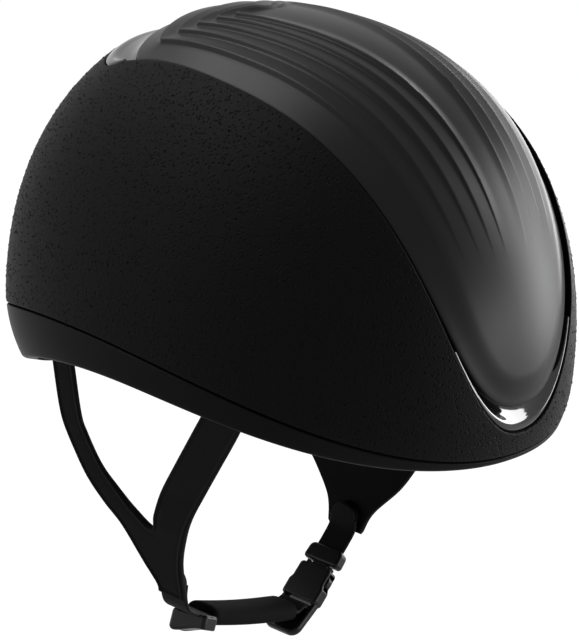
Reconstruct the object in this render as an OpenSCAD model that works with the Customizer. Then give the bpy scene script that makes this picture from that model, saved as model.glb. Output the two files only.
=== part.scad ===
// Skull cap riding helmet: shell, crown panel, foam liner, comfort pads and buckled chin harness.
// Millimetres. Z up, the front faces -Y, the wearer's right is -X. The origin is the head's centre,
// level with the widest part of the shell.

/* [Shell] */
// Half width of the shell at its widest
shell_half_w = 106; // [102:0.5:112]
// Reach of the shell in front of the centre
shell_front = 139.5; // [134:0.5:146]
// Reach of the shell behind the centre
shell_rear = 146.5; // [142:0.5:152]
// Height of the crown above the centre
crown_h = 142.5; // [138:0.5:150]
// Reach that the lower half would have below the centre, which sets how fast the rim tucks in
under_reach = 80; // [78:1:100]
// Fullness of the front profile
front_full = 2.27; // [2.1:0.01:2.5]
// Fullness of the rear profile
rear_full = 2.16; // [2.05:0.01:2.4]
// Fullness across the shell
cross_full = 2.09; // [2:0.01:2.3]
// Wall of the outer shell
shell_wall = 3; // [2:0.1:4]

/* [Rim band] */
// Wall of the rim band
band_wall = 2.4; // [1.6:0.1:3]
// Thickness of the lip that is rolled in under the liner
band_floor = 1.6; // [1.2:0.1:2]
// Reach of the lip inwards from the outer face
band_reach = 5.5; // [4:0.1:7]
// Height of the groove between the shell and the rim band
groove = 1; // [0.6:0.1:1.6]

/* [Seam and rim in side view] */
// Height of the groove at the front, at the middle and at the rear
seam_heights = [-23.4, 8, -22.8];
// Rise of the groove towards the rear at its middle, over the span
seam_slope = 7.6; // [0:0.2:10]
// Height of the rim at the front, at the middle and at the rear
rim_heights = [-26.2, -7.6, -64];
// Rise of the rim towards the rear at its middle, over the span
rim_slope = 0; // [-3:0.2:3]
// Distance in front of and behind the centre at which those heights hold
curve_span = 140; // [136:1:144]

/* [Crown recess] */
// Depth of the recess in the shell
recess_depth = 7; // [6:0.2:8]
// Half width of the recess at its widest
recess_half_w = 58.5; // [54:0.5:62]
// Half width of the recess at its rear corners
recess_rear_half_w = 50.5; // [46:0.5:53]
// Pitch angle of the recess's front tip above the horizontal
recess_tip = -4.6; // [-6:0.2:-3]
// Pitch angle at which the recess's rear corners start
recess_corner = 119; // [116:0.5:121]
// Pitch angle of the recess's rear edge
recess_rear = 131; // [128:0.5:134]

/* [Crown panel] */
// Thickness of the panel
panel_t = 3; // [2.4:0.1:3.4]
// Half width of the panel at its widest
panel_half_w = 56.8; // [52:0.2:57]
// Half width of the panel at its rear corners
panel_rear_half_w = 49.2; // [45:0.2:50]
// Pitch angle of the panel's front tip
panel_tip = 0.2; // [-0.4:0.2:2]
// Pitch angle at which the panel's rear corners start
panel_corner = 114; // [112:0.5:115]
// Pitch angle of the panel's rear edge
panel_rear = 121.5; // [120:0.5:122]
// How far the panel's edge is sunk below the shell's face
panel_sink = 2.4; // [1.4:0.1:2.6]
// How far the panel's border rises from its edge to its ripples
border_rise = 1.3; // [0.6:0.1:1.6]
// Number of ripples from the edge to the middle
ripples = 5; // [3:1:5]
// Spacing of the ripples
ripple_pitch = 8.4; // [7:0.1:8.6]
// Height of each ripple's step
ripple_h = 1.4; // [0.6:0.1:1.6]
// How much wider the ripples' spacing is along the panel's rear edge
rear_spread = 0.5; // [0:0.1:0.6]
// Width of the plain border outside the first ripple
ripple_border = 10; // [7:0.5:11]

/* [Vents and pegs] */
// Width of a vent slot
slot_w = 5; // [4:0.5:6]
// Length of a vent slot
slot_l = 15; // [12:1:18]
// Spacing of the vent slots across the crown
slot_pitch = 11; // [9:0.5:12]
// Slots in the front row and in the rear row
slot_count = 4; // [4:1:5]
// Shaft radius of a panel peg
peg_r = 3; // [2.4:0.1:3.6]

/* [Foam liner and head space] */
// Half width of the head space inside the foam
head_half_w = 83; // [80:0.5:85]
// Reach of the head space in front of the centre
head_front = 108; // [104:0.5:110]
// Reach of the head space behind the centre
head_rear = 112; // [108:0.5:114]
// Height of the head space above the centre
head_crown = 112; // [108:0.5:114]
// Reach that the head space would have below the centre
head_under = 86; // [84:1:100]
// Clearance between the foam and the shell
liner_gap = 0.6; // [0.5:0.05:0.8]

/* [Comfort pads] */
// Greatest thickness of a pad
pad_t = 7; // [5:0.5:8]
// Height of the brow, side and nape pads
pad_h = 30; // [24:1:32]
// Height of the pads above the rim
pad_rise = 5; // [3:0.5:7]
// Half width of the crown pad
crown_pad_half_w = 48; // [40:1:52]
// Half length of the crown pad
crown_pad_half_l = 62; // [54:1:66]
// Radius of a hook dot
dot_r = 5.5; // [5:0.5:7]

/* [Harness] */
// How far the harness's side plane lies inside the shell's widest part, at the height of the centre
harness_in = 18.2; // [17.6:0.2:19.2]
// Lean of the harness's side plane towards the chin
harness_lean = 12.6; // [12:0.2:13.2]
// Thickness of a strap
strap_t = 1.6; // [1.4:0.1:1.8]
// Width of a front strap
front_strap_w = 20; // [18:0.5:21]
// Width of a rear strap
rear_strap_w = 14; // [12:0.5:15]
// Thickness of a yoke
yoke_t = 3; // [2.4:0.1:3.4]
// Shaft radius of an anchor rivet
rivet_r = 2.2; // [1.8:0.1:2.6]
// Length of an anchor rivet's shaft into the foam
rivet_l = 6; // [5:0.2:6.4]
// Radius of an anchor rivet's head
rivet_head_r = 4.2; // [3.8:0.1:4.6]

/* [Chin strap] */
// Width of the chin webbing
webbing_w = 16; // [14:0.5:16]
// Thickness of the chin webbing
webbing_t = 1.6; // [1.2:0.1:1.8]
// Fore-and-aft place of the chin strap, at the middle
chin_y = 5.8; // [5:0.2:6.6]
// How far the chin strap is turned rearwards towards the wearer's left
chin_skew = 2; // [1.5:0.1:2.5]
// Height of the axis on which the chin strap swings
swing_z = -114; // [-115:0.5:-113]
// Radius of the sewn lap at each yoke's end
lap_r = 7; // [6.5:0.5:8]
// Width of the chin pad
chin_pad_w = 19; // [18:0.5:21]
// Thickness of the chin pad
chin_pad_t = 9.4; // [8:0.2:10]

/* [Buckle] */
// Width of the buckle
buckle_w = 21; // [20.5:0.5:24]
// Thickness of the socket
socket_t = 7; // [6.6:0.2:8]
// Slope of the buckle below the horizontal
buckle_slope = 47; // [46:0.5:48]
// Length of the plug's base
plug_base_l = 8.6; // [8:0.2:9]
// Thickness of a prong
prong_t = 2.2; // [1.8:0.1:2.4]
// Length of a prong past the plug's base
prong_l = 11.4; // [11:0.2:12]
// Radius of the bulge on a prong
bulge_r = 3; // [2.8:0.05:3.2]
// How far the bulge stands out past the socket's inner wall
bulge_out = 1; // [0.6:0.1:1.1]
// Length of the lifting tab past the webbing's slot
tab_l = 15; // [12:0.2:16]
// Bend of the lifting tab towards the pad
tab_bend = 11; // [6:1:14]

/* [Hidden] */
$fn = 32;

black_shell = [0.07, 0.07, 0.075];
black_satin = [0.11, 0.11, 0.115];
black_gloss = [0.03, 0.03, 0.03];
foam_grey = [0.16, 0.16, 0.17];
pad_black = [0.09, 0.09, 0.1];
strap_black = [0.08, 0.08, 0.085];
plastic_black = [0.05, 0.05, 0.055];
steel_grey = [0.45, 0.46, 0.48];

clear = 0.3; // gap between neighbouring pieces
dip = 0.7; // most that a flat facet dips below the domed face that it stands for
side_columns = 28; // columns of the grid along one side of the recess
corner_columns = 9; // columns round one rear corner
shell_rows = 7; // rows of the grid from the recess down to the seam
solve_steps = 20; // halvings when a curve's height is found on the shell

// Surfaces of the shell and of the head space, as their half sizes: across, front, rear, up, down
function shell_at(d) = [shell_half_w - d, shell_front - d, shell_rear - d, crown_h - d, under_reach - d];
function head_at(d) = [head_half_w - d, head_front - d, head_rear - d, head_crown - d, head_under - d];

// How many times surface s has to grow to reach point p, so that 1 is on the surface
function gauge(p, s) =
    let (b = p[1] < 0 ? s[1] : s[2], c = p[2] > 0 ? s[3] : s[4], m = p[1] < 0 ? front_full : rear_full)
    pow(pow(abs(p[0]) / s[0], cross_full)
        + pow(pow(abs(p[1]) / b, m) + pow(abs(p[2]) / c, m), cross_full / m), 1 / cross_full);

// Point p moved in or out along its ray from the origin on to surface s
function on(p, s) = p / gauge(p, s);

// Direction square to surface s at point p
function normal_at(p, s) = let (h = 0.01, g = gauge(p, s), v = [gauge(p + [h, 0, 0], s) - g,
    gauge(p + [0, h, 0], s) - g, gauge(p + [0, 0, h], s) - g]) v / norm(v);

// Point of surface s at pitch angle a (0 front, 90 top, 180 rear) and sideways place x
function at_pitch(a, x, s) =
    let (b = cos(a) > 0 ? s[1] : s[2], c = sin(a) > 0 ? s[3] : s[4],
        m = cos(a) > 0 ? front_full : rear_full,
        r = pow(pow(abs(cos(a)) / b, m) + pow(abs(sin(a)) / c, m), -1 / m)
            * pow(1 - pow(abs(x) / s[0], cross_full), 1 / cross_full))
    [x, -r * cos(a), r * sin(a)];

// Side-view curves: front, middle and rear heights with a slope, or one level height
seam = [seam_heights[0], seam_heights[1], seam_heights[2], seam_slope];
rim = [rim_heights[0], rim_heights[1], rim_heights[2], rim_slope];
function level(z) = [z, z, z, 0];
function curve_z(c, y) =
    let (t = y / curve_span)
    c[1] + c[3] * t + ((c[0] + c[2]) / 2 - c[1]) * t * t + ((c[2] - c[0]) / 2 - c[3]) * t * t * t;

// Point of surface s at azimuth th (0 front, 90 wearer's right, 180 rear), dz above curve c
function ray(th, e) = [-sin(th) * cos(e), -cos(th) * cos(e), sin(e)];
function cut(th, s, c, dz, lo = -75, hi = 60, n = solve_steps) =
    let (mid = (lo + hi) / 2, p = on(ray(th, mid), s))
    n == 0 ? p
    : p[2] < curve_z(c, p[1]) + dz ? cut(th, s, c, dz, mid, hi, n - 1)
    : cut(th, s, c, dz, lo, mid, n - 1);

function smooth(t) = let (u = max(0, min(1, t))) u * u * (3 - 2 * u);
function mix(a, b, t) = a + (b - a) * t;
function flat(lists) = [for (l = lists) each l];

// Outlines over the crown as [pitch angle, sideways place] on the wearer's right half:
// o = [tip, corner, rear, half width, rear half width, nose fullness, corner fullness, widest pitch]
recess_o = [recess_tip, recess_corner, recess_rear, recess_half_w, recess_rear_half_w, 2.2, 3, 75];
panel_o = [panel_tip, panel_corner, panel_rear, panel_half_w, panel_rear_half_w, 2.45, 2.6, 75];
function half_w(o, a) =
    a <= o[0] ? 0
    : a <= o[7] ? o[3] * pow(1 - pow(1 - (a - o[0]) / (o[7] - o[0]), 2), 1 / o[5])
    : o[3] - (o[3] - o[4]) * pow((a - o[7]) / (o[1] - o[7]), 2);
crowding = 1.7; // how strongly the columns crowd towards the front tip and the rear's middle
function outline(o, n, m) = concat(
    [for (k = [0:n]) let (a = o[0] + (o[1] - o[0]) * pow(k / n, crowding)) [a, k == 0 ? 0 : -half_w(o, a)]],
    [for (k = [1:m]) let (t = 90 * (1 - pow(1 - k / m, crowding)))
        [o[1] + (o[2] - o[1]) * pow(sin(t), 2 / o[6]), k == m ? 0 : -o[4] * pow(cos(t), 2 / o[6])]]);

// The line along the middle of the crown that the rings of a grid close on to
mm_per_degree = 2.45; // length of one degree of pitch on the crown
spine_front = 22; // pitch angle of the line's front end
spine_back = 24; // degrees of pitch from the line's rear end to the outline's rear edge
function spine(o, a) = mix(spine_front, o[2] - spine_back, (a - o[0]) / (o[2] - o[0]));
function to_spine(o, q) = [spine(o, q[0]) - q[0], -q[1]];
function share(o, q, e) = let (v = to_spine(o, q)) e / norm([v[0] * mm_per_degree, v[1]]);

// Rings past this share of the way to the middle line crowd together instead of crossing it
crowd_from = 0.8;
function room(t) = t < crowd_from ? 1 : exp((crowd_from - t) / (1 - crowd_from));
function inset(o, q, e) = let (t = share(o, q, e))
    q + to_spine(o, q) * (t < crowd_from ? t : 1 - (1 - crowd_from) * room(t));

// A half loop on the right is mirrored to a whole loop, which runs front, right, rear, left
function whole(h) = concat(h, [for (k = [len(h) - 2:-1:1]) [-h[k][0], h[k][1], h[k][2]]]);

// Triangles between two loops that start at points a and b, and onto a fold line or a pole
function band(a, b, n, wrap = true) =
    [for (k = [0:wrap ? n - 1 : n - 2]) let (j = (k + 1) % n)
        each [[a + k, a + j, b + j], [a + k, b + j, b + k]]];
function fold_band(a, f, n) =
    [for (k = [0:n - 1])
        let (j = (k + 1) % n, h = n / 2, p = f + (k <= h ? k : n - k), q = f + (j <= h ? j : n - j))
        each [[a + k, a + j, q], [a + k, q, p]]];
function pole_band(a, p, n) = [for (k = [0:n - 1]) [a + k, a + (k + 1) % n, p]];
function flip(faces) = [for (f = faces) [f[2], f[1], f[0]]];

// Solid between an outer and an inner sheet of loops, each closed on a fold line at its crown
module double_dome(outer, outer_fold, inner, inner_fold) {
    n = len(outer[0]);
    f = len(outer) * n;
    i = f + len(outer_fold);
    g = i + len(inner) * n;
    polyhedron(
        points = concat(flat(outer), outer_fold, flat(inner), inner_fold),
        faces = concat(
            flat([for (r = [0:len(outer) - 2]) band(r * n, (r + 1) * n, n)]), fold_band(f - n, f, n),
            flip(flat([for (r = [0:len(inner) - 2]) band(i + r * n, i + (r + 1) * n, n)])),
            flip(fold_band(g - n, g, n)), flip(band(0, i, n))));
}

// Solid between an outer and an inner sheet of loops, each closed on a pole
module double_cap(outer, outer_pole, inner, inner_pole) {
    n = len(outer[0]);
    f = len(outer) * n;
    i = f + 1;
    g = i + len(inner) * n;
    polyhedron(
        points = concat(flat(outer), [outer_pole], flat(inner), [inner_pole]),
        faces = concat(
            flat([for (r = [0:len(outer) - 2]) band(r * n, (r + 1) * n, n)]), pole_band(f - n, f, n),
            flip(flat([for (r = [0:len(inner) - 2]) band(i + r * n, i + (r + 1) * n, n)])),
            flip(pole_band(g - n, g, n)), flip(band(0, i, n))));
}

// Closed tube of rows that run round its section: a whole ring, or a belt with two ends
module ring_solid(rows) {
    n = len(rows[0]);
    m = len(rows);
    polyhedron(points = flat(rows), faces = flat([for (r = [0:m - 1]) band(r * n, ((r + 1) % m) * n, n)]));
}
module belt_solid(rows) {
    n = len(rows[0]);
    m = len(rows);
    polyhedron(points = flat(rows), faces = concat(
        flat([for (r = [0:m - 1]) band(r * n, ((r + 1) % m) * n, n, false)]),
        [for (r = [1:m - 2]) [0, r * n, (r + 1) * n]],
        [for (r = [1:m - 2]) [(r + 1) * n + n - 1, r * n + n - 1, n - 1]]));
}

// The grid that the shell and the liner share
recess_line = outline(recess_o, side_columns, corner_columns);
recess_fold = [for (q = recess_line) [spine(recess_o, q[0]), 0]];
column_th = [for (q = recess_line)
    let (p = at_pitch(q[0], q[1], shell_at(0))) atan2(-p[0], -p[1])];
rim_z = [for (th = column_th) cut(th, shell_at(0), rim, 0)[2]];
columns = len(column_th);
floor_rings = [14, 28, 42];

function recess_half(e, s) = [for (q = recess_line)
    let (i = inset(recess_o, q, e)) at_pitch(i[0], i[1], s)];
function fold_half(s) = [for (q = recess_fold) at_pitch(q[0], q[1], s)];
function seam_half(s, dz) = [for (th = column_th) cut(th, s, seam, dz)];
function rim_half(s, dz) = [for (k = [0:columns - 1]) cut(column_th[k], s, level(rim_z[k]), dz)];
function between(a, b, t, s) = [for (k = [0:len(a) - 1]) on(mix(a[k], b[k], t), s)];
function step_rows(a, b, n, s) = [for (r = [0:n]) whole(between(a, b, r / n, s))];

// Depth of the panel's face below the shell's face, e mm in from the panel's edge, without ripples
rise_from = 3; // distance from the edge at which the border starts to rise
rise_span = 12; // width over which it rises
function panel_depth(e) = panel_sink - border_rise * smooth((e - rise_from) / rise_span);
fade_start = 26; // pitch angle at which the ripples have died out
fade_span = 34; // degrees of pitch over which they grow to their full height
function ripple_fade(a) = smooth((a - fade_start) / fade_span);

// Children stand at point p of surface s, with Z square to it and outwards
module stand_on(p, s) {
    v = normal_at(p, s);
    translate(p) rotate([0, acos(v[2]), atan2(v[1], v[0])]) children();
}
module on_crown(a, x) stand_on(at_pitch(a, x, shell_at(0)), shell_at(0)) children();
function panel_back(a, x) = panel_depth(half_w(panel_o, a) - abs(x)) + panel_t;

slot_rows = [20, 108]; // pitch angles of the vent slots' middles
peg_places = [[34, 26], [72, 40], [100, 34]]; // pitch angle and sideways place of each pair of pegs
peg_lip = 1.6; // reach of a peg's head past its shaft
peg_head_r = peg_r + peg_lip;
peg_head_t = 1.5;
peg_washer_t = 0.8;
vent_reach = 60; // depth that the vent slots are cut to

module vent_slots(extra) {
    for (a = slot_rows, i = [0:slot_count - 1])
        on_crown(a, (i - (slot_count - 1) / 2) * slot_pitch)
            hull() for (s = [-1, 1])
                rotate([0, 0, 90]) translate([s * (slot_l - slot_w) / 2, 0, -vent_reach])
                    cylinder(r = slot_w / 2 + extra, h = vent_reach + 1, $fn = 12);
}
module each_peg() for (g = peg_places, s = [-1, 1]) on_crown(g[0], s * g[1]) children();

module outer_shell() {
    under = recess_depth + shell_wall;
    lip = groove / 2;
    rim_out = seam_half(shell_at(0), lip);
    rim_in = seam_half(shell_at(shell_wall), lip);
    edge = recess_half(0, shell_at(0));
    edge_in = recess_half(-shell_wall, shell_at(shell_wall));
    color(black_shell) difference() {
        double_dome(
            concat(step_rows(rim_out, edge, shell_rows, shell_at(0)),
                [for (e = concat([0], floor_rings)) whole(recess_half(e, shell_at(recess_depth)))]),
            fold_half(shell_at(recess_depth)),
            concat(step_rows(rim_in, edge_in, shell_rows, shell_at(shell_wall)),
                [for (e = concat([-shell_wall], floor_rings)) whole(recess_half(e, shell_at(under)))]),
            fold_half(shell_at(under)));
        vent_slots(0);
        each_peg() translate([0, 0, -recess_depth * 3])
            cylinder(r = peg_r + clear, h = recess_depth * 3, $fn = 16);
    }
}

// Crown panel: rings follow its outline inwards, and each ripple is a sharp step with a long ramp
panel_side_columns = 20;
panel_corner_columns = 6;
panel_line = outline(panel_o, panel_side_columns, panel_corner_columns);
edge_round = 1;
step_w = 1.2; // width of a ripple's steep side
panel_rings = [1, 14, 28, 42];
function spread(a) = 1 + rear_spread * smooth((a - panel_corner) / (panel_rear - panel_corner));
function ripple_ring(e, h) = [for (q = panel_line)
    let (w = e * spread(q[0]), i = inset(panel_o, q, w), up = h * room(share(panel_o, q, w)))
    at_pitch(i[0], i[1], shell_at(panel_depth(e) - up * ripple_fade(i[0])))];
function panel_under(e) = [for (q = panel_line) let (i = inset(panel_o, q, e))
    at_pitch(i[0], i[1], shell_at(panel_depth(e) + panel_t))];
function panel_fold(t) = [for (q = panel_line)
    at_pitch(spine(panel_o, q[0]), 0, shell_at(panel_sink - border_rise + t))];

module vent_panel() {
    edge_top = [for (q = panel_line) at_pitch(q[0], q[1], shell_at(panel_sink + edge_round))];
    rings = flat([for (r = [0:ripples - 1]) let (e = ripple_border + r * ripple_pitch)
        [[e, 0], [e + step_w, ripple_h], [e + ripple_pitch * 0.6, ripple_h * 0.35]]]);
    color(black_satin) double_dome(
        concat([whole(panel_under(0)), whole(edge_top), whole(ripple_ring(edge_round, 0))],
            [for (g = rings) whole(ripple_ring(g[0], g[1]))]),
        panel_fold(0),
        [for (e = panel_rings) whole(panel_under(e))],
        panel_fold(panel_t));
}

// Distance from the recess's edge to the panel's edge, along the line to the spine
function edge_gap(q, lo = 0, hi = 30, n = 14) =
    let (mid = (lo + hi) / 2, i = inset(recess_o, q, mid))
    n == 0 ? mid
    : abs(i[1]) < half_w(panel_o, i[0]) ? edge_gap(q, lo, mid, n - 1)
    : edge_gap(q, mid, hi, n - 1);

// A trim follows the recess's edge: its row lies e mm in from the edge, at depth d
function trim_row(e, d, ks) = [for (k = [0:len(ks) - 1])
    let (i = inset(recess_o, recess_line[ks[k]], e[k])) at_pitch(i[0], i[1], shell_at(d))];
function other_side(h) = [for (p = h) [-p[0], p[1], p[2]]];
function backwards(h) = [for (k = [len(h) - 1:-1:0]) h[k]];
trim_floor = recess_depth - clear;
trim_gap = 0.4; // between a trim and the recess's wall

// Each corner of a trim's section is [share of the gap beside the panel, depth]
function trim_rows(section, ks) = let (gaps = [for (k = ks) edge_gap(recess_line[k])])
    [for (c = section) trim_row([for (g = gaps) trim_gap + c[0] * (g - trim_gap)], c[1], ks)];
function but_first(h) = [for (k = [1:len(h) - 1]) h[k]];
front_columns = 9;
module front_vent_trim() {
    section = [[0, trim_floor], [0, 1.4], [0.16, 0.8], [0.36, 1.2], [0.6, 3.4], [0.85, 5.1], [1.12, 5.7],
        [1.12, trim_floor]];
    color(black_gloss) belt_solid([for (h = trim_rows(section, [for (k = [0:front_columns]) k]))
        concat(backwards(other_side(but_first(h))), h)]);
}

module rear_vent_trim() {
    section = [[0, trim_floor], [0, 0.8], [0.08, 0.1], [0.22, 0.4], [0.4, 2.8], [0.88, 4.6],
        [0.88, trim_floor], [0.6, trim_floor]];
    corner = [for (k = [0:corner_columns]) columns - 1 - k];
    color(black_gloss) belt_solid([for (h = trim_rows(section, corner))
        concat(backwards(h), other_side(but_first(h)))]);
}

// Snap pegs: from the panel's underside through the recess floor, with a head below it
module panel_pegs() {
    color(plastic_black) for (g = peg_places, s = [-1, 1]) on_crown(g[0], s * g[1]) {
        top = -panel_back(g[0], g[1]) - clear - dip;
        under = -recess_depth - shell_wall - clear - dip;
        translate([0, 0, under - peg_head_t]) cylinder(r = peg_r, h = top - under + peg_head_t);
        translate([0, 0, under - peg_head_t]) cylinder(r = peg_head_r, h = peg_head_t);
        translate([0, 0, -recess_depth + clear]) cylinder(r = peg_head_r, h = peg_washer_t);
    }
}

// Rim band: outer wall below the groove, rolled in below the liner
module rim_band() {
    edge_soft = 1.2;
    low = rim_half(shell_at(edge_soft), 0);
    side = rim_half(shell_at(0), edge_soft);
    top = seam_half(shell_at(0), -groove / 2);
    top_in = seam_half(shell_at(band_wall), -groove / 2);
    color(black_satin) ring_solid([
        whole(low), whole(side), whole(between(side, top, 0.5, shell_at(0))), whole(top), whole(top_in),
        whole(between(rim_half(shell_at(band_wall), band_floor), top_in, 0.5, shell_at(band_wall))),
        whole(rim_half(shell_at(band_wall), band_floor)), whole(rim_half(shell_at(band_reach), band_floor)),
        whole(rim_half(shell_at(band_reach), 0))]);
}

// Foam liner: follows the inside of the band and the shell, dished below the recess
pocket_in = 4.6; // depth of an anchor pocket inwards from the strap's middle
pocket_out = 2.4; // and outwards
pocket_side = 2; // and past each edge of the strap
peg_well = 5; // depth of the well in the foam for a peg's head
module impact_liner() {
    out = shell_wall + liner_gap;
    under = recess_depth + shell_wall + liner_gap;
    foot = band_floor + clear;
    rim_out = rim_half(shell_at(out), foot);
    seam_out = seam_half(shell_at(out), groove / 2);
    edge = recess_half(-out, shell_at(out));
    rim_head = rim_half(head_at(0), foot);
    edge_head = recess_half(-out, head_at(0));
    color(foam_grey) difference() {
        double_dome(
            concat([whole(rim_out), whole(between(rim_out, seam_out, 0.5, shell_at(out)))],
                step_rows(seam_out, edge, shell_rows, shell_at(out)),
                [for (e = concat([-out], floor_rings)) whole(recess_half(e, shell_at(under)))]),
            fold_half(shell_at(under)),
            concat(step_rows(rim_head, edge_head, shell_rows, head_at(0)),
                [for (e = floor_rings) whole(recess_half(e, head_at(0)))]),
            fold_half(head_at(0)));
        vent_slots(1);
        each_peg() translate([0, 0, -under - peg_well])
            cylinder(r = peg_head_r + peg_washer_t, h = 2 * peg_well, $fn = 16);
        both_sides() for (path = [front_path, rear_path]) {
            in_plane(-pocket_out, pocket_in) pocket_shape(path, front_strap_w + 2 * pocket_side);
            anchor_pin(path, rivet_r + clear, -rivet_l - clear, 0);
        }
    }
}

// Pads lie on the foam: belts round the rim, and one cap at the crown
pad_edge_t = 2.6; // thickness of a pad at its edge
dot_t = 0.8;
facet_rise = 0.5; // most that the foam's inner facets stand proud of the domed face
dot_gap = clear + dip + facet_rise; // between a dot and the foam
pad_stand = dot_gap + dot_t + clear; // space for the hook dots between foam and pad
belt_steps = 12;
function pad_column(th, d, dz) = cut(th, head_at(d), level(cut(th, shell_at(0), rim, 0)[2]), dz);
module belt_pad(th0, th1, hgt) {
    section = [[0, 0], [0, 0.5], [0, 1], [0.35, 1], [1, 0.7], [1, 0.3], [0.35, 0]];
    color(pad_black) belt_solid([for (c = section)
        [for (k = [0:belt_steps]) let (
            u = k / belt_steps,
            full = pad_edge_t + (pad_t - pad_edge_t) * pow(sin(180 * u), 0.6),
            d = pad_stand + c[0] * full)
            pad_column(mix(th0, th1, u), d, pad_rise + c[1] * hgt)]]);
}
brow_half = 48;
side_from = 78;
side_to = 106;
nape_from = 140;
module brow_pad() belt_pad(-brow_half, brow_half, pad_h);
module side_pad_right() belt_pad(side_from, side_to, pad_h);
module side_pad_left() mirror([1, 0, 0]) belt_pad(side_from, side_to, pad_h);
module nape_pad() belt_pad(nape_from, 360 - nape_from, pad_h);

module crown_pad() {
    steps = 24;
    function loop(r, d) = [for (k = [0:steps - 1]) let (t = 360 * k / steps)
        on([-crown_pad_half_w * r * sin(t), -crown_pad_half_l * r * cos(t), head_crown], head_at(d))];
    function thick(r) = pad_edge_t + (pad_t - pad_edge_t) * (1 - pow(r, 3));
    radii = [1, 0.86, 0.6, 0.3];
    color(pad_black) double_cap(
        [for (r = radii) loop(r, pad_stand)], on([0, 0, 1], head_at(pad_stand)),
        [for (r = radii) loop(r == 1 ? 0.98 : r, pad_stand + thick(r))],
        on([0, 0, 1], head_at(pad_stand + pad_t)));
}

// Hook dots between the foam and the pads
module dot_at(p) stand_on(on(p, head_at(0)), head_at(0))
    translate([0, 0, -dot_t - dot_gap]) cylinder(r = dot_r, h = dot_t);
module pad_fasteners() {
    mid_h = pad_rise + pad_h / 2;
    color(strap_black) {
        for (th = [-30, 0, 30, (side_from + side_to) / 2, -(side_from + side_to) / 2, nape_from + 14, 180,
            -nape_from - 14])
            dot_at(pad_column(th, 0, mid_h));
        for (x = [-20, 20], y = [-28, 28]) dot_at([x, y, head_crown]);
    }
}

harness_x = shell_half_w - harness_in;

// Harness side plane: outlines are drawn as [fore-and-aft place, height] and stood up in the plane
module in_plane(from, to) {
    translate([-harness_x, 0, 0]) rotate([0, -harness_lean, 0]) rotate([90, 0, 90])
        translate([0, 0, from]) linear_extrude(to - from) children();
}
module both_sides() {
    children();
    mirror([1, 0, 0]) children();
}
function drawn(p) = [p[0], p[1] / cos(harness_lean)];
// Middle lines of the straps, chosen by hand: the left ones hang a little lower and further apart
front_path = [[-52, 0], [-41, -18], [-29, -36], [-17, -54], [-6, -71], [0, -84]];
rear_path = [[59, 4], [58.5, -18], [58, -44], [55, -55], [47, -70], [37, -80], [27, -88]];
front_path_left = [[-52, 0], [-41, -18], [-33, -37], [-25, -58], [-16, -77], [-9, -90]];
rear_path_left = [[59, 4], [58.5, -18], [58, -44], [55.5, -57], [49, -72], [39, -84], [29, -93]];
// Edges of the yokes below the straps: where the straps part, then down the rear and up the front
yoke_edge = [[11.6, -88], [[19.8, -108], [12.3, -117], [12, -121]], [[-5, -121], [-5, -103]]];
yoke_edge_left = [[11, -90], [[25, -107], [21.5, -113], [19.3, -121]], [[-1.5, -121], [-5.5, -110]]];
function unit(v) = v / norm(v);
function heading(path, k) = unit(path[min(k + 1, len(path) - 1)] - path[max(k - 1, 0)]);
function ribbon(path, w) = concat(
    [for (k = [0:len(path) - 1]) let (h = heading(path, k)) path[k] + w / 2 * [-h[1], h[0]]],
    [for (k = [len(path) - 1:-1:0]) let (h = heading(path, k)) path[k] - w / 2 * [-h[1], h[0]]]);
function plane_path(path) = [for (p = path) drawn(p)];
module strap_shape(path, w) polygon(ribbon(plane_path(path), w));
// A pocket runs from above the anchor down out of the foam
pocket_above = 12;
pocket_below = 46;
module pocket_shape(path, w) {
    p = plane_path(path);
    d = unit(p[1] - p[0]);
    polygon(ribbon([p[0] - d * pocket_above, p[1], p[1] + d * pocket_below], w));
}
// A pin square to the side plane, at the strap's anchor
anchor_drop = 6;
module anchor_pin(path, r, from, to) {
    p = plane_path(path);
    c = p[0] + unit(p[1] - p[0]) * anchor_drop;
    translate([-harness_x, 0, 0]) rotate([0, -harness_lean, 0]) rotate([90, 0, 90])
        translate([c[0], c[1], from]) cylinder(r = r, h = to - from);
}
module strap(path, w) color(strap_black) difference() {
    in_plane(-strap_t / 2, strap_t / 2) strap_shape(path, w);
    anchor_pin(path, rivet_r + clear, -strap_t, strap_t);
}
module front_strap_right() strap(front_path, front_strap_w);
module rear_strap_right() strap(rear_path, rear_strap_w);
module front_strap_left() mirror([1, 0, 0]) strap(front_path_left, front_strap_w);
module rear_strap_left() mirror([1, 0, 0]) strap(rear_path_left, rear_strap_w);

// Anchor plates and rivets: the plate lies on the strap's inner face, the rivet passes through both
plate_t = 1.2;
plate_w = 12;
plate_gap = 0.1;
rivet_head_t = 0.8; // outer head
rivet_washer_t = 1.2; // inner head
module anchor_plates() color(steel_grey) both_sides() for (path = [front_path, rear_path]) {
    p = plane_path(path);
    d = unit(p[1] - p[0]);
    inner = strap_t / 2 + plate_gap;
    difference() {
        in_plane(inner, inner + plate_t)
            polygon(ribbon([p[0] + d, p[0] + d * (anchor_drop * 2 - 1)], plate_w));
        anchor_pin(path, rivet_r + plate_gap, 0, 5);
    }
}
module anchor_rivets() color(steel_grey) both_sides() for (path = [front_path, rear_path]) {
    inner = strap_t / 2 + plate_t + 2 * plate_gap;
    anchor_pin(path, rivet_r, -rivet_l, inner);
    anchor_pin(path, rivet_head_r, -strap_t / 2 - plate_gap - rivet_head_t, -strap_t / 2 - plate_gap);
    anchor_pin(path, rivet_head_r, inner, inner + rivet_washer_t);
}

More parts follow.
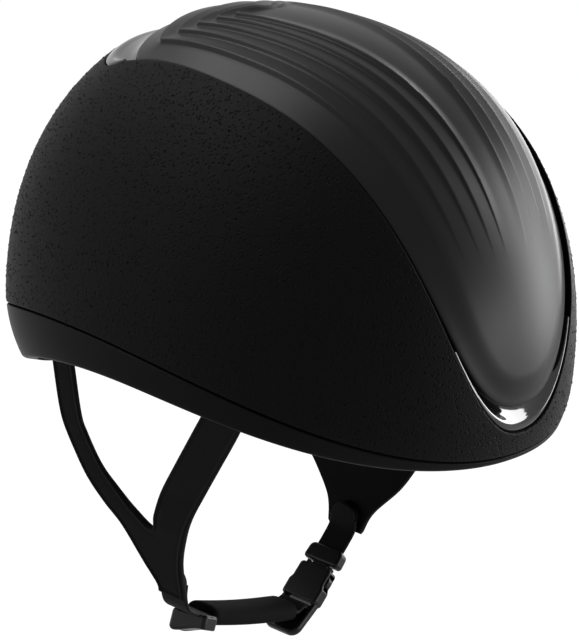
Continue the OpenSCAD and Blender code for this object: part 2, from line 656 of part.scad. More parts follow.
// Yoke: joins the two straps and ends in a round sewn lap, square to the axis of the swing
lap_in = 3.7; // how far the lap's inner face lies inside the side plane
lap_t = 3; // depth of the lap
lap_plane = harness_x + swing_z * tan(harness_lean) - lap_in;
module yoke(front, rear, edge) color(strap_black) {
    f = ribbon(plane_path(front), front_strap_w);
    r = ribbon(plane_path(rear), rear_strap_w);
    in_plane(-yoke_t / 2, yoke_t / 2) polygon(concat(
        [f[len(front) - 1], drawn(edge[0]), r[len(rear)], r[len(rear) - 1]],
        plane_path(edge[1]), plane_path(edge[2]), [f[len(front)]]));
}
module lap(from, to) in_loop() translate([from, 0, swing_z]) rotate([0, 90, 0])
    cylinder(r = lap_r, h = to - from);
module yoke_right() {
    yoke(front_path, rear_path, yoke_edge);
    color(strap_black) lap(-lap_plane - lap_t, -lap_plane);
}
module yoke_left() {
    mirror([1, 0, 0]) yoke(front_path_left, rear_path_left, yoke_edge_left);
    color(strap_black) lap(lap_plane, lap_plane + lap_t);
}

// Frame of the chin loop: X along the axis of the swing, Z up
module in_loop() translate([0, chin_y, 0]) rotate([0, 0, chin_skew]) children();

// Buckle frame: X runs down the buckle from the plug's top, Y fore and aft, Z outwards
tab_x = lap_plane - clear - webbing_t / 2; // distance of the sewn webbing's middle from the middle
buckle_top = [tab_x - 7.8, swing_z - 14.5];
function along(angle, u, n) = u * [-cos(angle), -sin(angle)] + n * [sin(angle), -cos(angle)];
function buckle_point(u, n) = buckle_top + along(buckle_slope, u, n);
function bent_point(u, n) = buckle_point(body_end, 0) + along(buckle_slope - tab_bend, u, n);
module in_buckle() in_loop() translate([buckle_top[0], 0, buckle_top[1]])
    rotate([0, 180 - buckle_slope, 0]) children();
module block(u, v, w) translate([u[0], v[0], w[0]]) cube([u[1] - u[0], v[1] - v[0], w[1] - w[0]]);
module post(u, v, r, w) translate([u, v, w[0]]) cylinder(r = r, h = w[1] - w[0]);

half = buckle_w / 2;
mouth = plug_base_l + 2; // where the socket starts
rail_v = 0.9; // side rail at the socket's mouth
cavity_v = half - 2;
cavity_w = socket_t / 2 - 1.2;
prong_w = cavity_w - 0.4; // half height of a prong
prong_v = cavity_v - 1 - prong_t / 2; // middle of a prong
root_u = plug_base_l + prong_t / 2 + 0.3;
tip_u = plug_base_l + prong_l;
bulge_u = root_u + 6.4;
bulge_v = prong_v + prong_t / 2 + 1 + bulge_out - bulge_r;
window = [mouth + 1.6, bulge_u + bulge_r + 1.4];
cavity_end = tip_u + 2;
body_end = cavity_end + 6;
strap_slot = [0.8, 4.4]; // from the socket body's end
slot_mid = (strap_slot[0] + strap_slot[1]) / 2;
plug_slot = 4.4; // depth of the slot in the plug's top
plug_half_h = 3; // half height of the plug's base
plug_grip = 3; // radius of the base's corners
plug_web = 1.4; // half width of the guide between the prongs
plug_slot_h = 1.1; // half height of the slot in the plug's top
tab_corner = 5; // radius of the tab's corners
tab_root = 2; // how far the tab starts inside the socket's body
tab_end = strap_slot[1] + tab_l;
tab_w = [-1.8, 2.6];

// Webbing drawn in front view as [sideways place, height] and swept fore and aft
module webbing(path) in_loop() translate([0, webbing_w / 2, 0]) rotate([90, 0, 0])
    linear_extrude(webbing_w) polygon(ribbon(path, webbing_t));
module lower_webbing() color(strap_black) {
    lap(-tab_x - webbing_t / 2, -tab_x + webbing_t / 2);
    webbing([for (p = [[0, 0], [0, -7.5], [2.1, -12.8], [4.6, -15.8]]) below_lap(-1, p)]);
}
// Point p measured from the axis of the swing at a lap: inwards and up
function below_lap(side, p) = [side * (tab_x - p[0]), swing_z + p[1]];
chin_path = concat(
    [for (p = [[4.9, -16.2], [9.5, -18.9], [16.5, -21.3]]) below_lap(-1, p)],
    [for (p = [[40.5, -35.8], [35.9, -35.8]]) below_lap(1, p)],
    [bent_point(4.2, -3.6), bent_point(slot_mid, 0), bent_point(slot_mid, 2.2)]);
module chin_webbing() color(strap_black) webbing(chin_path);
module tail_webbing() color(strap_black) {
    lap(tab_x - webbing_t / 2, tab_x + webbing_t / 2);
    webbing([below_lap(1, [0, 0]), below_lap(1, [0, -5]), buckle_point(-5.6, 0),
        buckle_point(plug_slot - clear, 0)]);
}

// Slider at the near end of the pad
adjuster_w = 24;
adjuster_l = 10;
adjuster_h = 9.4;
adjuster_above = 2.6;
adjuster_slot = 3.6;
adjuster_slope = 21.7;
adjuster_in = 10.9; // distance of the slider's middle inwards from the lap's webbing
adjuster_drop = 19.5; // and below the axis of the swing
module strap_adjuster() {
    reach = adjuster_w / 2 - adjuster_l / 2;
    mid = below_lap(-1, [adjuster_in, -adjuster_drop]);
    color(plastic_black) in_loop() translate([mid[0], 0, mid[1]])
        rotate([0, adjuster_slope, 0]) difference() {
        union() {
            translate([-adjuster_l / 2, -reach, adjuster_above - adjuster_h])
                cube([adjuster_l, 2 * reach, adjuster_h]);
            for (s = [-1, 1]) translate([0, s * reach, adjuster_above - adjuster_h])
                cylinder(r = adjuster_l / 2, h = adjuster_h);
        }
        translate([-adjuster_l, -webbing_w / 2 - clear, -adjuster_slot / 2])
            cube([2 * adjuster_l, webbing_w + 2 * clear, adjuster_slot]);
    }
}

// Padded sleeve on the chin webbing
pad_from = chin_path[2];
pad_to = chin_path[3];
module chin_pad() {
    v = pad_to - pad_from;
    r = chin_pad_t / 2;
    reach = chin_pad_w / 2 - r;
    color(pad_black) in_loop() translate([pad_from[0], 0, pad_from[1]]) rotate([0, atan2(-v[1], v[0]), 0])
        rotate([90, 0, 90]) linear_extrude(norm(v)) difference() {
            union() {
                square([2 * reach, chin_pad_t], center = true);
                for (s = [-1, 1]) translate([s * reach, 0]) circle(r = r);
            }
            square([webbing_w + 2 * clear, webbing_t + 2 * clear], center = true);
        }
}

module buckle_socket() {
    h = socket_t / 2;
    color(plastic_black) in_buckle() difference() {
        union() {
            block([mouth, window[1]], [-cavity_v - rail_v, cavity_v + rail_v], [-h, h]);
            block([window[1], body_end], [-half, half], [-h, h]);
            bent() {
                block([-tab_root, tab_end - tab_corner], [-half, half], tab_w);
                block([tab_end - tab_corner, tab_end], [tab_corner - half, half - tab_corner], tab_w);
                for (s = [-1, 1]) post(tab_end - tab_corner, s * (half - tab_corner), tab_corner, tab_w);
            }
        }
        block([mouth - 1, cavity_end], [-cavity_v, cavity_v], [-cavity_w, cavity_w]);
        for (s = [-1, 1]) translate([0, s * (cavity_v + 1), 0])
            block(window, [-2.4, 2.4], [-cavity_w, cavity_w]);
        bent() block(strap_slot, [-webbing_w / 2 - clear, webbing_w / 2 + clear], [-h, h]);
    }
}
module bent() translate([body_end, 0, 0]) rotate([0, tab_bend, 0]) children();

module buckle_plug() {
    g = plug_grip;
    w = [-plug_half_h, plug_half_h];
    color(plastic_black) in_buckle() difference() {
        union() {
            block([g, plug_base_l], [-half, half], w);
            block([0, g], [g - half, half - g], w);
            for (s = [-1, 1]) post(g, s * (half - g), g, w);
            block([plug_base_l, tip_u - 4], [-plug_web, plug_web], [-plug_web, plug_web]);
        }
        block([-1, plug_slot], [-webbing_w / 2 - clear, webbing_w / 2 + clear],
            [-plug_slot_h, plug_slot_h]);
    }
}

// A prong bends in at its root; its bulge catches in the socket's side window
module prong(side) color(plastic_black) in_buckle() mirror([0, side < 0 ? 1 : 0, 0]) difference() {
    union() {
        post(root_u, prong_v, prong_t / 2, [-prong_w, prong_w]);
        block([root_u, tip_u - prong_t / 2], [prong_v - prong_t / 2, prong_v + prong_t / 2],
            [-prong_w, prong_w]);
        post(tip_u - prong_t / 2, prong_v, prong_t / 2, [-prong_w, prong_w]);
        post(bulge_u, bulge_v, bulge_r, [-prong_w, prong_w]);
    }
    block([bulge_u - bulge_r - 1, bulge_u + bulge_r + 1],
        [bulge_v - bulge_r - 1, prong_v - prong_t / 2], [-prong_w - 1, prong_w + 1]);
}
module plug_prong_rear() prong(1);
module plug_prong_front() prong(-1);

outer_shell();
vent_panel();
front_vent_trim();
rear_vent_trim();
panel_pegs();
rim_band();
impact_liner();
crown_pad();
brow_pad();
side_pad_right();
side_pad_left();
nape_pad();
pad_fasteners();
anchor_plates();
anchor_rivets();
front_strap_right();
rear_strap_right();
yoke_right();
front_strap_left();
rear_strap_left();
yoke_left();
lower_webbing();
strap_adjuster();
chin_webbing();
chin_pad();
buckle_socket();
tail_webbing();
buckle_plug();
plug_prong_front();
plug_prong_rear();
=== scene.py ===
"""Looks of a skull cap riding helmet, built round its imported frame.

Lengths are millimetres in the classes and become metres where a mesh is made. Z is up, the front
faces -Y and the wearer's right is -X.
"""

import logging
import math
from dataclasses import dataclass
from enum import Enum
from typing import Any, Callable, Sequence

import bmesh
import bpy
import numpy as np
from mathutils import Matrix, Vector
from mathutils.geometry import delaunay_2d_cdt


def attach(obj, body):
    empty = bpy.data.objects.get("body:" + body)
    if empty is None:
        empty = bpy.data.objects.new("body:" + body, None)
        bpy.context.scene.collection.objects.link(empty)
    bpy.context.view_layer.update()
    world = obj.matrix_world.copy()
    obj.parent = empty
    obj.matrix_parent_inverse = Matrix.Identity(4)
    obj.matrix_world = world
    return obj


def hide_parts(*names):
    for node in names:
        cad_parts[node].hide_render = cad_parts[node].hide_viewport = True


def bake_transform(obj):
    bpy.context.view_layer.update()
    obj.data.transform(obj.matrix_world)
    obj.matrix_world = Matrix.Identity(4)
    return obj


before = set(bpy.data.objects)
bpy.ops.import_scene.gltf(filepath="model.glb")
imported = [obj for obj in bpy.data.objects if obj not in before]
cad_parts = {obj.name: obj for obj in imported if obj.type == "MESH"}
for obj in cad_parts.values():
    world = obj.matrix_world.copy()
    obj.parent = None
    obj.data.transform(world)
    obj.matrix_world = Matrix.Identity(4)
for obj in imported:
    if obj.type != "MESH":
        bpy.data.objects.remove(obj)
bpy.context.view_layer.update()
LOG = logging.getLogger("helmet")
MM = 0.001
SPAN_STEPS = 24  # points drawn from one given point of a curve to the next
CUT_LOWEST, CUT_HIGHEST, CUT_HALVINGS = -75.0, 60.0, 26  # elevations in degrees of a search on a dome
OUTLINE_POINTS = 900  # points along the crown outline's side and round its rear corner
CORNER_POINTS = 9
FLAT_COSINE = 0.9995  # a face counts as square to a direction above this cosine
Array = np.ndarray
Faces = list[tuple[int, ...]]


class Body(Enum):
    """The bodies that pieces ride on."""

    HELMET = "helmet"
    STRAP_END = "strap_end"
    CHIN_STRAP = "chin_strap"
    STRAP_TAIL = "strap_tail"
    PRONG_FRONT = "prong_front"
    PRONG_REAR = "prong_rear"


class Side(Enum):
    """The wearer's two sides, as the sign that turns a right-hand place into one on that side."""

    RIGHT = 1
    LEFT = -1


def smooth(t: Array | float) -> Array:
    """Eases from 0 to 1 as t goes from 0 to 1."""
    u = np.clip(t, 0.0, 1.0)
    return u * u * (3 - 2 * u)


def mix(a: Array | float, b: Array | float, t: Array | float) -> Array:
    """Goes from a to b as t goes from 0 to 1."""
    return a + (b - a) * t


def curved(points: Sequence[Sequence[float]], step: float) -> Array:
    """Draws a smooth curve through points and places new points on it at even steps.

    Args:
        points: the points that the curve goes through.
        step: distance between the new points.

    Returns:
        The new points, both ends included.
    """
    p = np.asarray(points, float)
    q = np.vstack([2 * p[0] - p[1], p, 2 * p[-1] - p[-2]])
    t = np.linspace(0, 1, SPAN_STEPS + 1)[:-1, None]
    fine = []
    for a, b, c, d in zip(q[:-3], q[1:-2], q[2:-1], q[3:]):
        near, far = (c - a) / 2, (d - b) / 2
        fine.append(b + near * t + (3 * (c - b) - 2 * near - far) * t**2 + (2 * (b - c) + near + far) * t**3)
    return evenly(np.vstack(fine + [q[-2][None]]), step)


def evenly(line: Array, step: float, closed: bool = False) -> Array:
    """Places points on a polyline at even steps.

    Args:
        line: the polyline's points.
        step: distance wanted between the new points.
        closed: whether the last point is the first one again, and is left out.

    Returns:
        The new points.
    """
    along = np.concatenate([[0.0], np.cumsum(np.linalg.norm(np.diff(line, axis=0), axis=1))])
    count = max(2, int(round(along[-1] / step)))
    places = np.linspace(0, along[-1], count + 1)
    made = np.stack([np.interp(places, along, line[:, k]) for k in range(line.shape[1])], axis=1)
    return made[:-1] if closed else made


@dataclass(frozen=True)
class Dome:
    """An egg-shaped surface round the origin, given by its reach each way and its fullness."""

    half_w: float
    front: float
    rear: float
    up: float
    under: float
    front_full: float = 2.27
    rear_full: float = 2.16
    cross_full: float = 2.09

    def gauge(self, p: Array, depth: Array | float = 0.0) -> Array:
        """How many times the surface, depth mm further in, has to grow to reach each point.

        Args:
            p: the points.
            depth: how far inside the surface.

        Returns:
            A factor for each point.
        """
        b = np.where(p[..., 1] < 0, self.front, self.rear) - depth
        c = np.where(p[..., 2] > 0, self.up, self.under) - depth
        m = np.where(p[..., 1] < 0, self.front_full, self.rear_full)
        side = (np.abs(p[..., 1]) / b) ** m + (np.abs(p[..., 2]) / c) ** m
        k = self.cross_full
        return ((np.abs(p[..., 0]) / (self.half_w - depth)) ** k + side ** (k / m)) ** (1 / k)

    def on(self, p: Array, depth: Array | float = 0.0) -> Array:
        """Moves points along their rays from the origin to depth mm inside the surface."""
        return p / self.gauge(p, depth)[..., None]

    def at_pitch(self, pitch: Array, x: Array, depth: Array | float = 0.0) -> Array:
        """Points at pitch angles (0 front, 90 top, 180 rear) and sideways places x.

        Args:
            pitch: pitch angles in degrees.
            x: sideways places.
            depth: how far inside the surface the points lie.

        Returns:
            The points.
        """
        c, s = np.cos(np.radians(pitch)), np.sin(np.radians(pitch))
        b = np.where(c > 0, self.front, self.rear) - depth
        u = np.where(s > 0, self.up, self.under) - depth
        m = np.where(c > 0, self.front_full, self.rear_full)
        side = (1 - (np.abs(x) / (self.half_w - depth)) ** self.cross_full) ** (1 / self.cross_full)
        r = ((np.abs(c) / b) ** m + (np.abs(s) / u) ** m) ** (-1 / m) * side
        return np.stack([x + 0 * r, -r * c, r * s], axis=-1)

    def cut(self, azimuth: Array, height: Callable[[Array], Array], depth: Array | float = 0.0) -> Array:
        """Points of the surface at azimuths where it meets a height that depends on the fore-and-aft place.

        Args:
            azimuth: 0 at the front, 90 at the wearer's right, 180 at the rear.
            height: gives the height at each fore-and-aft place.
            depth: how far inside the surface the points lie.

        Returns:
            The points.
        """
        th = np.radians(azimuth)
        lo, hi = np.full_like(th, CUT_LOWEST), np.full_like(th, CUT_HIGHEST)
        for _ in range(CUT_HALVINGS):
            mid = np.radians((lo + hi) / 2)
            ray = np.stack([-np.sin(th) * np.cos(mid), -np.cos(th) * np.cos(mid), np.sin(mid)], axis=-1)
            p = self.on(ray, depth)
            below = p[..., 2] < height(p[..., 1])
            lo, hi = np.where(below, (lo + hi) / 2, lo), np.where(below, hi, (lo + hi) / 2)
        return p

    def normal(self, p: Array) -> Array:
        """Directions square to the surface at points on it.

        Args:
            p: the points.

        Returns:
            Unit directions outwards.
        """
        nudge = 0.01
        g = self.gauge(p)
        v = np.stack([self.gauge(p + nudge * axis) - g for axis in np.eye(3)], axis=-1)
        return v / np.linalg.norm(v, axis=-1, keepdims=True)


@dataclass(frozen=True)
class SideCurve:
    """A line round the helmet, drawn in side view by its heights and its slope at the middle."""

    front: float
    middle: float
    rear: float
    slope: float
    span: float = 140.0

    def height(self, y: Array) -> Array:
        """Height at the fore-and-aft places y.

        Args:
            y: fore-and-aft places.

        Returns:
            The heights.
        """
        t = y / self.span
        even = (self.front + self.rear) / 2 - self.middle
        odd = (self.rear - self.front) / 2 - self.slope
        return self.middle + self.slope * t + even * t**2 + odd * t**3


@dataclass(frozen=True)
class CrownOutline:
    """An outline over the crown, drawn as pitch angles and sideways places."""

    tip: float
    corner: float
    rear: float
    half_w: float
    rear_half_w: float
    nose_full: float
    corner_full: float
    widest: float = 75.0
    spine_front: float = 22.0
    spine_back: float = 24.0
    mm_per_degree: float = 2.45
    crowd_from: float = 0.8

    def half_width(self, pitch: Array) -> Array:
        """Half width at pitch angles up to the rear corners.

        Args:
            pitch: pitch angles in degrees.

        Returns:
            The half widths.
        """
        nose = np.clip((pitch - self.tip) / (self.widest - self.tip), 0, 1)
        front = self.half_w * (1 - (1 - nose) ** 2) ** (1 / self.nose_full)
        back = (pitch - self.widest) / (self.corner - self.widest)
        rear = self.half_w - (self.half_w - self.rear_half_w) * back**2
        return np.where(pitch <= self.widest, front, rear)

    def half(self, step: float) -> Array:
        """The outline's wearer's right half from the tip to the rear, at even steps.

        Args:
            step: distance between the points.

        Returns:
            Points as pitch angle and sideways place.
        """
        k = np.linspace(0, 1, OUTLINE_POINTS)
        side_pitch = self.tip + (self.corner - self.tip) * k**2
        side = np.stack([side_pitch, -self.half_width(side_pitch)], axis=1)
        t = np.radians(90 * k[1:])
        turn = 2 / self.corner_full
        back = np.stack([self.corner + (self.rear - self.corner) * np.sin(t) ** turn,
                         -self.rear_half_w * np.cos(t) ** turn], axis=1)
        back[-1, 1] = 0.0
        scale = np.array([self.mm_per_degree, 1.0])
        return evenly(np.vstack([side, back]) * scale, step) / scale

    def spine(self, pitch: Array) -> Array:
        """Pitch angle on the crown's middle line that a point's way inwards leads to."""
        return mix(self.spine_front, self.rear - self.spine_back, (pitch - self.tip) / (self.rear - self.tip))

    def way(self, q: Array) -> tuple[Array, Array]:
        """The way from outline points to the middle line, and its length in millimetres."""
        v = np.stack([self.spine(q[:, 0]) - q[:, 0], -q[:, 1]], axis=1)
        return v, np.hypot(v[:, 0] * self.mm_per_degree, v[:, 1])

    def room(self, q: Array, e: Array | float) -> Array:
        """1 where points can move e mm inwards freely, and less where they crowd near the middle line."""
        share = e / self.way(q)[1]
        return np.minimum(1.0, np.exp((self.crowd_from - share) / (1 - self.crowd_from)))

    def inset(self, q: Array, e: Array | float) -> Array:
        """Moves outline points e mm inwards; far in they crowd together and never reach the middle line."""
        v, length = self.way(q)
        crowded = 1 - (1 - self.crowd_from) * self.room(q, e)
        return q + v * np.where(e / length < self.crowd_from, e / length, crowded)[:, None]


def whole(half: Array) -> Array:
    """Mirrors a half loop on the wearer's right to a whole loop: front, right, rear, left."""
    return np.vstack([half, half[-2:0:-1] * np.array([-1, 1, 1])])


def band(a: int, b: int, n: int, wrap: bool = True) -> Faces:
    """Faces between two rows of n points that start at indices a and b."""
    last = n if wrap else n - 1
    return [(a + k, a + (k + 1) % n, b + (k + 1) % n, b + k) for k in range(last)]


def fold(a: int, n: int) -> Faces:
    """Faces that close a loop of n points on itself across the middle plane."""
    inner = [(a + k, a + k + 1, a + n - k - 1, a + n - k) for k in range(1, n // 2 - 1)]
    return [(a, a + 1, a + n - 1)] + inner + [(a + n // 2 - 1, a + n // 2, a + n // 2 + 1)]


def sheets(outer: Sequence[Array], inner: Sequence[Array]) -> tuple[Array, Faces]:
    """A solid between an outer and an inner sheet of whole loops, each closed at the crown.

    Args:
        outer: the outer sheet's loops from the rim to the crown.
        inner: the inner sheet's loops from the rim to the crown.

    Returns:
        The points and the faces.
    """
    n = len(outer[0])
    turn = len(outer) * n
    faces: Faces = []
    for r in range(len(outer) - 1):
        faces += band(r * n, (r + 1) * n, n)
    for r in range(len(inner) - 1):
        faces += band(turn + (r + 1) * n, turn + r * n, n)
    faces += fold(turn - n, n) + fold(turn + (len(inner) - 1) * n, n) + band(turn, 0, n)
    return np.vstack([*outer, *inner]), faces


def drum(rows: Sequence[Array]) -> tuple[Array, Faces]:
    """A closed solid of loops stacked from one end to the other, with a flat face at each end.

    Args:
        rows: the loops, each with as many points.

    Returns:
        Points and faces.
    """
    n, last = len(rows[0]), len(rows) - 1
    faces: Faces = [tuple(range(n))]
    for k in range(last):
        faces += band(k * n, (k + 1) * n, n)
    faces.append(tuple(range(last * n, (last + 1) * n)))
    return np.vstack(rows), faces


def rounding(radius: float, points: int = 6) -> list[tuple[float, float]]:
    """A rounded edge's points, as their distances in from its two faces, from the one to the other."""
    turns = np.radians(np.linspace(0, 90, points))
    return [(radius * (1 - math.sin(t)), radius * (1 - math.cos(t))) for t in turns]


def inwards(outline: Array) -> Array:
    """Directions square to a flat closed outline at its points, towards its inside.

    Args:
        outline: its points, once round.

    Returns:
        A unit direction for each point.
    """
    ahead, behind = np.roll(outline, -1, axis=0), np.roll(outline, 1, axis=0)
    tangent = (ahead - behind) / np.linalg.norm(ahead - behind, axis=1, keepdims=True)
    area = np.sum(outline[:, 0] * ahead[:, 1] - ahead[:, 0] * outline[:, 1])
    return np.stack([-tangent[:, 1], tangent[:, 0]], axis=1) * (1 if area > 0 else -1)


def tube(rows: Sequence[Array], ring: bool) -> tuple[Array, Faces]:
    """A closed tube whose rows run along it, one for each corner of its section.

    Args:
        rows: the rows, in order round the section.
        ring: whether the tube closes on itself, or ends in two flat faces.

    Returns:
        The points and the faces.
    """
    n, m = len(rows[0]), len(rows)
    faces: Faces = []
    for r in range(m):
        faces += band(r * n, ((r + 1) % m) * n, n, ring)
    if not ring:
        faces += [tuple(r * n for r in range(m)), tuple(r * n + n - 1 for r in range(m))]
    return np.vstack(rows), faces


@dataclass(frozen=True)
class Place:
    """A local frame: its origin and three square directions."""

    origin: Array
    u: Array
    v: Array
    w: Array

    def at(self, p: Array) -> Array:
        """Points given along the three directions."""
        p = np.asarray(p, float)
        return self.origin + p[..., :1] * self.u + p[..., 1:2] * self.v + p[..., 2:3] * self.w

    def tilted(self, u: float, degrees: float) -> "Place":
        """The frame moved u along and tilted about its second direction.

        Args:
            u: distance along the first direction.
            degrees: tilt, positive against the third direction.

        Returns:
            The new frame.
        """
        c, s = math.cos(math.radians(degrees)), math.sin(math.radians(degrees))
        return Place(self.origin + self.u * u, self.u * c - self.w * s, self.v, self.u * s + self.w * c)

    def rolled(self, degrees: float) -> "Place":
        """The frame rolled about its first direction; positive lifts the end against the second direction."""
        c, s = math.cos(math.radians(degrees)), math.sin(math.radians(degrees))
        return Place(self.origin, self.u, self.v * c - self.w * s, self.w * c + self.v * s)


def rounded(corners: Sequence[tuple[float, float, float]], step: float = 0.35) -> Array:
    """A closed outline whose corners are rounded.

    Args:
        corners: place and radius of each corner.
        step: distance between the outline's points.

    Returns:
        The outline's points.
    """
    line = []
    n = len(corners)
    for k, (x, y, r) in enumerate(corners):
        p = np.array([x, y])
        a = np.array(corners[k - 1][:2]) - p
        b = np.array(corners[(k + 1) % n][:2]) - p
        a, b = a / np.linalg.norm(a), b / np.linalg.norm(b)
        half = math.acos(float(np.clip(a @ b, -1, 1))) / 2
        middle = (a + b) / np.linalg.norm(a + b) * r / math.sin(half)
        start, end = a * r / math.tan(half) - middle, b * r / math.tan(half) - middle
        turn = math.pi - 2 * half
        for t in np.linspace(0, 1, CORNER_POINTS):
            spoke = (math.sin((1 - t) * turn) * start + math.sin(t * turn) * end) / math.sin(turn)
            line.append(p + middle + spoke)
    return evenly(np.vstack([*line, line[0]]), step, True)


def plate(outline: Array, low: float, high: float, edge: float, place: Place) -> tuple[Array, Faces]:
    """A plate with rounded edges.

    Args:
        outline: its outline along the place's first two directions.
        low: where it starts along the third direction.
        high: where it ends.
        edge: radius of its edges.
        place: the frame that it is drawn in.

    Returns:
        Points and faces.
    """
    flat_from = edge * 1.25
    rise = [(flat_from, 0.0), *rounding(edge, 5)]
    rows = [(inset, low + up) for inset, up in rise] + [(inset, high - up) for inset, up in reversed(rise)]
    inward, n = inwards(outline), len(outline)
    return drum([place.at(np.column_stack([outline + inward * inset, np.full(n, w)])) for inset, w in rows])


def turned(profile: Sequence[tuple[float, float]], place: Place, sides: int = 48) -> tuple[Array, Faces]:
    """A solid turned about a place's third direction.

    Args:
        profile: radius and height of each ring, from one end to the other.
        place: the frame that it stands in.
        sides: points round it.

    Returns:
        Points and faces.
    """
    t = np.linspace(0, 2 * math.pi, sides, endpoint=False)
    rings = [np.stack([r * np.cos(t), r * np.sin(t), np.full(sides, h)], axis=1) for r, h in profile]
    return drum([place.at(ring) for ring in rings])


def disc(radius: float, low: float, high: float, edge: float) -> list[tuple[float, float]]:
    """Profile of a disc with rounded edges, for turned().

    Args:
        radius: the disc's radius.
        low: height of its lower face.
        high: height of its upper face.
        edge: radius of the rounded edges.

    Returns:
        Distances from the axis, with heights.
    """
    flat_to = radius - edge * 1.3
    foot = [(radius - inset, low + up) for inset, up in rounding(edge, 5)]
    head = [(radius - inset, high - up) for up, inset in rounding(edge, 5)]
    return [(flat_to, low), *foot, *head, (flat_to, high)]


def joined(*solids: tuple[Array, Faces]) -> tuple[Array, Faces]:
    """Several solids' points and faces as one.

    Args:
        *solids: each one's points and faces.

    Returns:
        Points and faces.
    """
    points, faces, start = [], [], 0
    for p, f in solids:
        points.append(p)
        faces += [tuple(k + start for k in face) for face in f]
        start += len(p)
    return np.vstack(points), faces


class Value:
    """A shader socket that Python's operators work on."""

    def __init__(self, shader: "Shader", socket: bpy.types.NodeSocket) -> None:
        """Keeps the shader and the socket."""
        self.shader = shader
        self.socket = socket

    def maths(self, operation: str, *operands: Any) -> "Value":
        """Adds a Math node that works on this value and the operands."""
        inputs = dict(enumerate((self, *operands)))
        node = self.shader.node("ShaderNodeMath", {"operation": operation}, inputs)
        return Value(self.shader, node.outputs[0])

    def flipped(self, operation: str, other: Any) -> "Value":
        """Adds a Math node with the other operand first."""
        node = self.shader.node("ShaderNodeMath", {"operation": operation}, {0: other, 1: self})
        return Value(self.shader, node.outputs[0])

    def __add__(self, other: Any) -> "Value":
        """Sum."""
        return self.maths("ADD", other)

    def __radd__(self, other: Any) -> "Value":
        """Sum with the number first."""
        return self.maths("ADD", other)

    def __sub__(self, other: Any) -> "Value":
        """Difference."""
        return self.maths("SUBTRACT", other)

    def __rsub__(self, other: Any) -> "Value":
        """Difference with the number first."""
        return self.flipped("SUBTRACT", other)

    def __mul__(self, other: Any) -> "Value":
        """Product."""
        return self.maths("MULTIPLY", other)

    def __rmul__(self, other: Any) -> "Value":
        """Product with the number first."""
        return self.maths("MULTIPLY", other)

    def ease(self, low: float, high: float) -> "Value":
        """Goes smoothly from 0 to 1 as this value goes from low to high."""
        node = self.shader.node("ShaderNodeMapRange", {"interpolation_type": "SMOOTHSTEP"},
                                {"Value": self, "From Min": low, "From Max": high})
        return Value(self.shader, node.outputs[0])


class Shader:
    """A material's or a world's node tree under construction."""

    def __init__(self, owner: bpy.types.Material | bpy.types.World) -> None:
        """Empties the owner's node tree."""
        owner.use_nodes = True
        self.tree = owner.node_tree
        self.tree.nodes.clear()

    def node(self, kind: str, settings: dict[str, Any] | None = None,
             inputs: dict[Any, Any] | None = None) -> bpy.types.Node:
        """Adds a node.

        Args:
            kind: the node's type.
            settings: properties, which are set first.
            inputs: a value, a Value or a socket for each input, by name or number.

        Returns:
            The node.
        """
        made = self.tree.nodes.new(kind)
        for key, value in (settings or {}).items():
            setattr(made, key, value)
        for key, value in (inputs or {}).items():
            if isinstance(value, Value):
                self.tree.links.new(value.socket, made.inputs[key])
            elif isinstance(value, bpy.types.NodeSocket):
                self.tree.links.new(value, made.inputs[key])
            else:
                made.inputs[key].default_value = value
        return made

    def place(self, kind: str = "Object") -> bpy.types.NodeSocket:
        """The place of a point: Object coordinates, or the piece's UV map."""
        return self.node("ShaderNodeTexCoord").outputs[kind]

    def noise(self, place: bpy.types.NodeSocket, per_mm: float, detail: float = 2.0) -> Value:
        """Cloudy noise with that many cells to the millimetre."""
        inputs = {"Vector": place, "Scale": per_mm / MM, "Detail": detail}
        node = self.node("ShaderNodeTexNoise", None, inputs)
        return Value(self, node.outputs["Fac"])

    def cells(self, place: bpy.types.NodeSocket, per_mm: float, feature: str = "F1") -> Value:
        """Distance to the middles, or to the edges, of random cells."""
        inputs = {"Vector": place, "Scale": per_mm / MM}
        node = self.node("ShaderNodeTexVoronoi", {"feature": feature}, inputs)
        return Value(self, node.outputs["Distance"])

    def axes(self, place: bpy.types.NodeSocket) -> tuple[Value, Value, Value]:
        """The three parts of a place."""
        x, y, z = self.node("ShaderNodeSeparateXYZ", None, {0: place}).outputs
        return Value(self, x), Value(self, y), Value(self, z)

    def tint(self, share: Value, low: Sequence[float], high: Sequence[float]) -> Value:
        """A colour between two, by a share from 0 to 1."""
        node = self.node("ShaderNodeMix", {"data_type": "RGBA"},
                         {"Factor": share, 6: (*low, 1.0), 7: (*high, 1.0)})
        return Value(self, node.outputs[2])


@dataclass
class Surface:
    """What a finish says about each point, and the plain numbers of the shader."""

    colour: Value
    roughness: Value
    height: Value
    relief: float
    metallic: float = 0.0
    specular: float = 0.5
    sheen: float = 0.0


